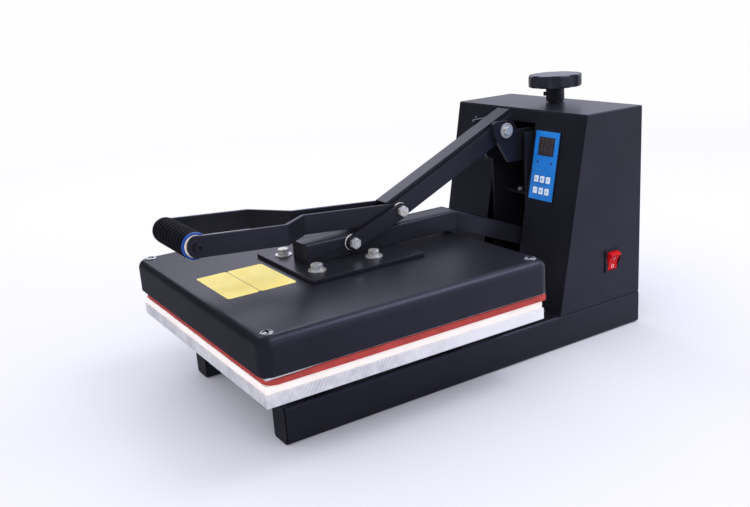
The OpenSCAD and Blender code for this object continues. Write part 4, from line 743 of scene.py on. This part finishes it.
def panScrewTree():
    tree, given = newTree("panScrew", screwLooks["cover_screws"])
    radius, height, edge = (given[key] for key in ("Radius", "Height", "Edge"))
    disc = tubeOf(tree, 36, radius, edge, **{"fill_type": "TRIANGLE_FAN", "Fill Segments": 6})
    x, y, z = separate(tree, addNode(tree, "GeometryNodeInputPosition"))
    upper = calc(tree, "GREATER_THAN", z, 0.0)
    out = addNode(tree, "ShaderNodeVectorMath", {"operation": "LENGTH", 0: combine(tree, x, y)}).outputs["Value"]
    fall = calc(tree, "POWER", calc(tree, "DIVIDE", out, radius), domePower)
    dome = calc(tree, "MULTIPLY", calc(tree, "SUBTRACT", 1.0, fall), calc(tree, "SUBTRACT", height, edge))
    domed = addNode(tree, "GeometryNodeSetPosition", {
        "Geometry": disc, "Selection": upper, "Offset": combine(tree, z=dome)})
    seated = moved(tree, domed, calc(tree, "MULTIPLY", edge, 0.5))
    cuts = []
    for first, second in (("Cross", "Slot"), ("Slot", "Cross")):
        size = combine(tree, given[first], given[second], calc(tree, "MULTIPLY", given["Recess"], 2.0))
        bar = addNode(tree, "GeometryNodeMeshCube", {"Size": size})
        cuts.append(moved(tree, bar, height))
    head = addNode(tree, "GeometryNodeMeshBoolean", {"operation": "DIFFERENCE", "solver": "EXACT", 0: seated, 1: cuts})
    return closeTree(tree, given, [head, shankOf(tree, given, sides=16, into=0.3)])


lean = math.radians(10.677)  # the tower's front leans back
outOfFront = Vector((0, -math.cos(lean), math.sin(lean)))
upFront = Vector((0, math.sin(lean), math.cos(lean)))


def makeScrews():
    tree = panScrewTree()
    sizes = screwLooks["cover_screws"]
    places = [(overMiddle(lo, hi, coverTop), aimed(up, twist("cover_screws", i)))
              for i, (lo, hi) in enumerate(solidBoxes("cover_screws"))]
    piece = growPiece("coverScrews", tree, places, sizes, looks["nickel_plate"])
    softenEdges(piece, groupLooks["cover_screws"][0], angle=40)
    # painted shade: the recess faces take the dark black oxide finish in place of the shade inside the cross
    piece.data.materials.append(looks["black_steel"])  # the recess lies in its own shade
    recessLow, recessFloor, steep = 0.2 * mm, 0.7 * mm, 0.5
    for face in piece.data.polygons:
        away = min((face.center.xy - Vector(spot[:2])).length for spot, turn in places)
        height = face.center.z - coverTop
        inRecess = recessLow < height and (height < recessFloor or abs(face.normal.z) < steep)
        face.material_index = int(away < sizes["Cross"] / 2 * mm and inRecess)
    settle(piece, "arm", "zinc_steel", "cover_screws")
    places = []
    backFace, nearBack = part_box("tower_back")[1].y, 20 * mm
    for i, (lo, hi) in enumerate(solidBoxes("tower_screws")):
        middle = (lo + hi) / 2
        if middle.y > backFace - nearBack:
            places.append(((middle.x, backFace, middle.z), aimed((0, 1, 0), twist("tower_screws", i))))
        else:  # the head and its 2 mm shank are equally long, so the seat is in the middle
            places.append((middle, aimed(outOfFront, twist("front_screw"))))
    slot = slotOf["tower_screws"]
    piece = growPiece("towerScrews", tree, places, screwLooks["tower_screws"], looks[slot])
    softenEdges(piece, groupLooks["tower_screws"][0], angle=40)
    settle(piece, "base", slot, "tower_screws")


makeScrews()
print("screws made")


# ribbed foam sleeve on the handle: rings of a tube follow the rib rule, and the end rings close on the bore
gripSizes = {"Length": 91.6, "Radius": 16.2, "Bore": 8.1, "Groove": 1.4}
gripLook = {"ribs": 10, "ringsPerRib": 12, "sides": 72, "fullness": 0.55}


def ribbedSleeveTree():
    tree, given = newTree("ribbedSleeve", gripSizes)
    ribs, sides = gripLook["ribs"], gripLook["sides"]
    rings = ribs * gripLook["ringsPerRib"]
    tube = tubeOf(tree, sides, 1.0, 1.0, **{"fill_type": "NONE", "Side Segments": rings + 2})
    x, y, z = separate(tree, addNode(tree, "GeometryNodeInputPosition"))
    count = calc(tree, "MULTIPLY_ADD", z, rings + 2.0, rings / 2)
    along = calc(tree, "DIVIDE", count, float(rings), clamp=True)
    wave = calc(tree, "ABSOLUTE", calc(tree, "SINE", calc(tree, "MULTIPLY", along, math.pi * ribs)))
    dip = calc(tree, "SUBTRACT", 1.0, calc(tree, "POWER", wave, gripLook["fullness"]))
    ribbed = calc(tree, "SUBTRACT", given["Radius"], calc(tree, "MULTIPLY", dip, given["Groove"]))
    atEnd = calc(tree, "GREATER_THAN", calc(tree, "ABSOLUTE", z), 0.5 - 0.5 / (rings + 2))
    wide = addNode(tree, "GeometryNodeSwitch", {
        "input_type": "FLOAT", "Switch": atEnd, "False": ribbed, "True": given["Bore"]})
    far = calc(tree, "MULTIPLY", calc(tree, "SUBTRACT", along, 0.5), given["Length"])
    spot = combine(tree, calc(tree, "MULTIPLY", x, wide), calc(tree, "MULTIPLY", y, wide), far)
    skin = addNode(tree, "GeometryNodeSetPosition", {"Geometry": tube, "Position": spot})
    bore = tubeOf(tree, sides, given["Bore"], given["Length"], fill_type="NONE")
    return closeTree(tree, given, [skin, bore])


def makeGrip():
    places = [(gripMiddle, aimed((1, 0, 0), 0))]
    piece = growPiece("foamGrip", ribbedSleeveTree(), places, gripSizes, looks["black_foam"])
    softenEdges(piece, 0, angle=50)
    settle(piece, "lever", "black_foam", "foam_grip")


makeGrip()
print("grip made")


# soft sheets on the bed

def roundedLoop(halfX, halfY, rear, steps=10, between=0, front=None):
    corners = []
    for signX, signY, start in ((1, 1, 0), (-1, 1, 90), (-1, -1, 180), (1, -1, 270)):
        radius = front if front and signY < 0 else rear
        turns = [math.radians(start + 90 * i / steps) for i in range(steps + 1)]
        corners.append([(signX * (halfX - radius) + radius * math.cos(turn),
                         signY * (halfY - radius) + radius * math.sin(turn)) for turn in turns])
    loop = []
    for corner, after in zip(corners, corners[1:] + corners[:1]):
        loop += corner
        for i in range(1, between + 1):
            t = i / (between + 1)
            loop.append(tuple(a * (1 - t) + b * t for a, b in zip(corner[-1], after[0])))
    return loop


def stackLoops(name, loops):
    work = bmesh.new()
    rows = [[work.verts.new(p) for p in loop] for loop in loops]
    for low, high in zip(rows, rows[1:]):
        for i in range(len(low)):
            j = (i + 1) % len(low)
            work.faces.new((low[i], low[j], high[j], high[i]))
    work.faces.new(list(reversed(rows[0])))
    work.faces.new(rows[-1])
    bmesh.ops.recalc_face_normals(work, faces=work.faces)
    return toMesh(work, name)


# corner radii, rounding of the edge, how far the side swells and the cut wanders, in mm; the heat plate presses the
# mat's two side edges up into a lip, which starts and is full at these distances from the front
padLook = {"rear": 2, "front": 2, "edge": 0.35, "bulge": 0.45, "wander": 0.22, "lip": 0}
matLook = {"rear": 4, "front": 15, "edge": 1.1, "bulge": 0, "wander": 0.12, "lip": 1.7, "lipFront": (25, 70),
           "lipWide": 3, "lipInset": 0.15}
edgeLevels = [(0, 0), (0.3, 0.55), (0.7, 0.9), (1, 1)]  # a rounded edge: shares of its height and of its depth
slowWaves = ((23, 31, 0, 0.6), (71, -57, 1.3, 0.4))  # how a cut wanders: along X and Y, start, share


def softSheet(name, node, look):
    lo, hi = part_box(node)
    centre = (lo + hi) / 2
    bulge, edge, wander, lip = (look[key] * mm for key in ("bulge", "edge", "wander", "lip"))
    halfX, halfY = (hi.x - lo.x) / 2 - wander, (hi.y - lo.y) / 2 - wander
    rear, front = look["rear"] * mm, look["front"] * mm
    outline = roundedLoop(halfX - bulge, halfY - bulge, rear, steps=12, between=40, front=front)
    loops = [(lo.z + edge * t, edge * (inset - 1)) for t, inset in edgeLevels]
    for t in (0.25, 0.5, 0.75):
        loops.append((lo.z + edge + (hi.z - lo.z - 2 * edge) * t, bulge * math.sin(math.pi * t)))
    firstHigh = len(loops)
    loops += [(hi.z - edge * t, edge * (inset - 1)) for t, inset in reversed(edgeLevels)]
    lastHigh = len(loops)
    if lip:
        loops.append((hi.z, -edge - look["lipInset"] * mm))

    def raised(row, x, y):
        if not lip or not firstHigh <= row < lastHigh:
            return 0
        first, full = (value * mm - halfY for value in look["lipFront"])
        beside = max(0, 1 - (halfX - abs(x)) / (look["lipWide"] * mm))
        return lip * beside * max(0, min(1, (y - first) / (full - first)))

    def outward(x, y):
        spot, reach = Vector((x, y, 0)), 20 * mm
        inner = [max(reach - half, min(half - reach, value)) for value, half in ((x, halfX), (y, halfY))]
        return (spot - Vector((*inner, 0))).normalized()

    stacked = []
    for row, (z, out) in enumerate(loops):
        ring = []
        for x, y in outline:
            slow = wander * sum(math.sin(a * x + b * y + start) * share for a, b, start, share in slowWaves)
            spot = Vector((centre.x + x, centre.y + y, z + raised(row, x, y)))
            ring.append(spot + outward(x, y) * (out + slow))
        stacked.append(ring)
    piece = newPiece(name, stackLoops(name, stacked), looks[slotOf[node]])
    softenEdges(piece, 0, angle=60)
    return settle(piece, bodyOf[node], slotOf[node], node)


softSheet("foamPad", "foam_pad", padLook)
softSheet("siliconeMat", "silicone_mat", matLook)
print("pad and mat made")


# thin prints: outlines raised by a hair; put turns a point on the face and a height into a place.
# An outline with an inner one is a ring
def thinPrint(name, outlines, put, low, high, material):
    work = bmesh.new()
    for outline in outlines:
        loops = outline if isinstance(outline, tuple) else (outline,)
        rows = [[work.verts.new(put(x, y, z)) for x, y in loop] for loop in loops for z in (low, high)]
        if len(loops) == 1:
            work.faces.new(rows[0])
            work.faces.new(rows[1])
            pairs = ((0, 1),)
        else:
            pairs = ((0, 1), (1, 3), (3, 2), (2, 0))
        for a, b in pairs:
            for i in range(len(rows[a])):
                j = (i + 1) % len(rows[a])
                work.faces.new((rows[a][i], rows[a][j], rows[b][j], rows[b][i]))
    bmesh.ops.recalc_face_normals(work, faces=work.faces)
    return newPiece(name, toMesh(work, name), material)


# plain label of two panels on the cover, in mm from the part's middle
labelLook = {"x": (-47.0, 53.0), "panels": ((-276.5, -236.2), (-235.2, -187.6)), "corner": 4.0, "thick": 0.18}


def makeLabel():
    x0, x1 = labelLook["x"]
    outlines = []
    for y0, y1 in labelLook["panels"]:
        loop = roundedLoop((x1 - x0) / 2 * mm, (y1 - y0) / 2 * mm, labelLook["corner"] * mm, 6)
        outlines.append([(x + (x0 + x1) / 2 * mm, y + (y0 + y1) / 2 * mm) for x, y in loop])
    piece = thinPrint("label", outlines, lambda x, y, z: Vector((x, y, coverTop + z)), 0, labelLook["thick"] * mm,
                      looks["label"])
    settle(piece, "arm")


makeLabel()

# the panel's own frame: X to the right, Y up the slope, Z out of the face; its origin is on the tower's front.
# Heights above it in mm: the overlay's middle, the display's face, and the signs' under and upper side
panelLook = {"middle": 1.9, "face": 2.3, "signs": (3.0, 3.05)}
panelMiddle = sum(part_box("panel_overlay"), Vector()) / 2 - outOfFront * panelLook["middle"] * mm
panelPlace = Matrix.Translation(panelMiddle) @ Matrix(((1, 0, 0), upFront, outOfFront)).transposed().to_4x4()

# unlit digits: seven segments each, two rows of three
segmentSizes = {"Length": 4.3, "Width": 0.95, "Thickness": 0.06}
digitLook = {"pitch": (9.0, 11.6), "tall": 4.6, "wide": 2.6, "up": 26.4, "slant": 5}


def segmentTree():
    tree, given = newTree("segment", segmentSizes)
    outline = addNode(tree, "GeometryNodeCurvePrimitiveQuadrilateral", {
        "Width": given["Length"], "Height": given["Width"]})
    cut = addNode(tree, "GeometryNodeFilletCurve", {
        "mode": "POLY", "Count": 1, "Limit Radius": True, "Curve": outline, "Radius": given["Width"]})
    plate = addNode(tree, "GeometryNodeFillCurve", {"mode": "NGONS", "Curve": cut})
    thick = addNode(tree, "GeometryNodeExtrudeMesh", {
        "mode": "FACES", "Individual": False, "Mesh": plate, "Offset Scale": given["Thickness"]})
    under = addNode(tree, "GeometryNodeFlipFaces", {"Mesh": plate})
    return closeTree(tree, given, [thick, under])


def makeDigits():
    pitchX, pitchY = digitLook["pitch"]
    tall, wide, slant = digitLook["tall"], digitLook["wide"], math.radians(digitLook["slant"])
    level = panelPlace.to_3x3()
    upright = level @ Matrix.Rotation(math.radians(90) - slant, 3, "Z")
    strokes = [(0, y, level) for y in (tall, 0, -tall)]
    strokes += [(x, y, upright) for y in (tall / 2, -tall / 2) for x in (-wide, wide)]
    places = []
    for row in (-0.5, 0.5):
        for column in (-1, 0, 1):
            for x, y, turn in strokes:
                along = column * pitchX + x + y * math.tan(slant)
                spot = Vector((along, digitLook["up"] + row * pitchY + y, panelLook["face"]))
                places.append((panelPlace @ (spot * mm), turn))
    piece = growPiece("displayDigits", segmentTree(), places, segmentSizes, looks["segments"])
    settle(piece, "base", "dark_display")


makeDigits()


def circle(radius, sides):
    return [(math.cos(i * math.tau / sides) * radius, math.sin(i * math.tau / sides) * radius) for i in range(sides)]


def rectangle(halfX, halfY):
    return [(-halfX, -halfY), (halfX, -halfY), (halfX, halfY), (-halfX, halfY)]


# plain signs on the keys: arrows, a disc, a bar, a square and a cross
arm, half = 2.0, 0.5
signs = {
    "button_1": [(-arm, -1.4), (arm, -1.4), (0, arm)],
    "button_2": circle(1.9, 20),
    "button_3": [(-arm, 1.4), (0, -arm), (arm, 1.4)],
    "button_4": rectangle(arm, half),
    "button_5": rectangle(1.7, 1.7),
    "button_6": [(-arm, -half), (-half, -half), (-half, -arm), (half, -arm), (half, -half), (arm, -half),
                 (arm, half), (half, half), (half, arm), (-half, arm), (-half, half), (-arm, half)],
}
for node, outline in signs.items():
    middle = panelPlace.inverted() @ (sum(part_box(node), Vector()) / 2)
    shifted = [(middle.x + x * mm, middle.y + y * mm) for x, y in outline]
    low, high = (height * mm for height in panelLook["signs"])
    piece = thinPrint(pieceName(node) + "Sign", [shifted], lambda x, y, z: panelPlace @ Vector((x, y, z)), low, high,
                      looks["marks"])
    settle(piece, node)


# the rocker's ring and bar lie in its hollow, which is part of a cylinder; lengths in mm, up the hollow from its middle
rockerLook = {"axle": (135.0, 256.0, 105.0), "turn": -20, "waist": 2.81, "hollow": 28.7, "ringAt": -7.2,
              "ring": (2.6, 1.7), "barAt": 5.2, "bar": (1.0, 5.0), "sunk": -0.1, "proud": 0.08}


def makeRockerMarks():
    turn = math.radians(rockerLook["turn"])
    axle = Vector(rockerLook["axle"]) * mm
    reach = rockerLook["hollow"] * mm
    middle = axle + (rockerLook["waist"] * mm + reach) * Vector((math.cos(turn), 0, math.sin(turn)))

    def put(x, y, z):
        angle = turn - y / reach
        return middle + Vector((0, x, 0)) - (reach - z) * Vector((math.cos(angle), 0, math.sin(angle)))

    rings = tuple([(x * mm, (rockerLook["ringAt"] + y) * mm) for x, y in circle(r, 32)] for r in rockerLook["ring"])
    wide, tall = rockerLook["bar"]
    sides = [(sx * wide / 2 * mm, (rockerLook["barAt"] + sy * tall / 2) * mm)
             for sx, sy in ((-1, -1), (1, -1), (1, -0.33), (1, 0.33), (1, 1), (-1, 1), (-1, 0.33), (-1, -0.33))]
    piece = thinPrint("rockerMarks", [rings, sides], put, rockerLook["sunk"] * mm, rockerLook["proud"] * mm,
                      looks["rockerMarks"])
    settle(piece, "rocker")


makeRockerMarks()
print("label, digits, signs and marks made")
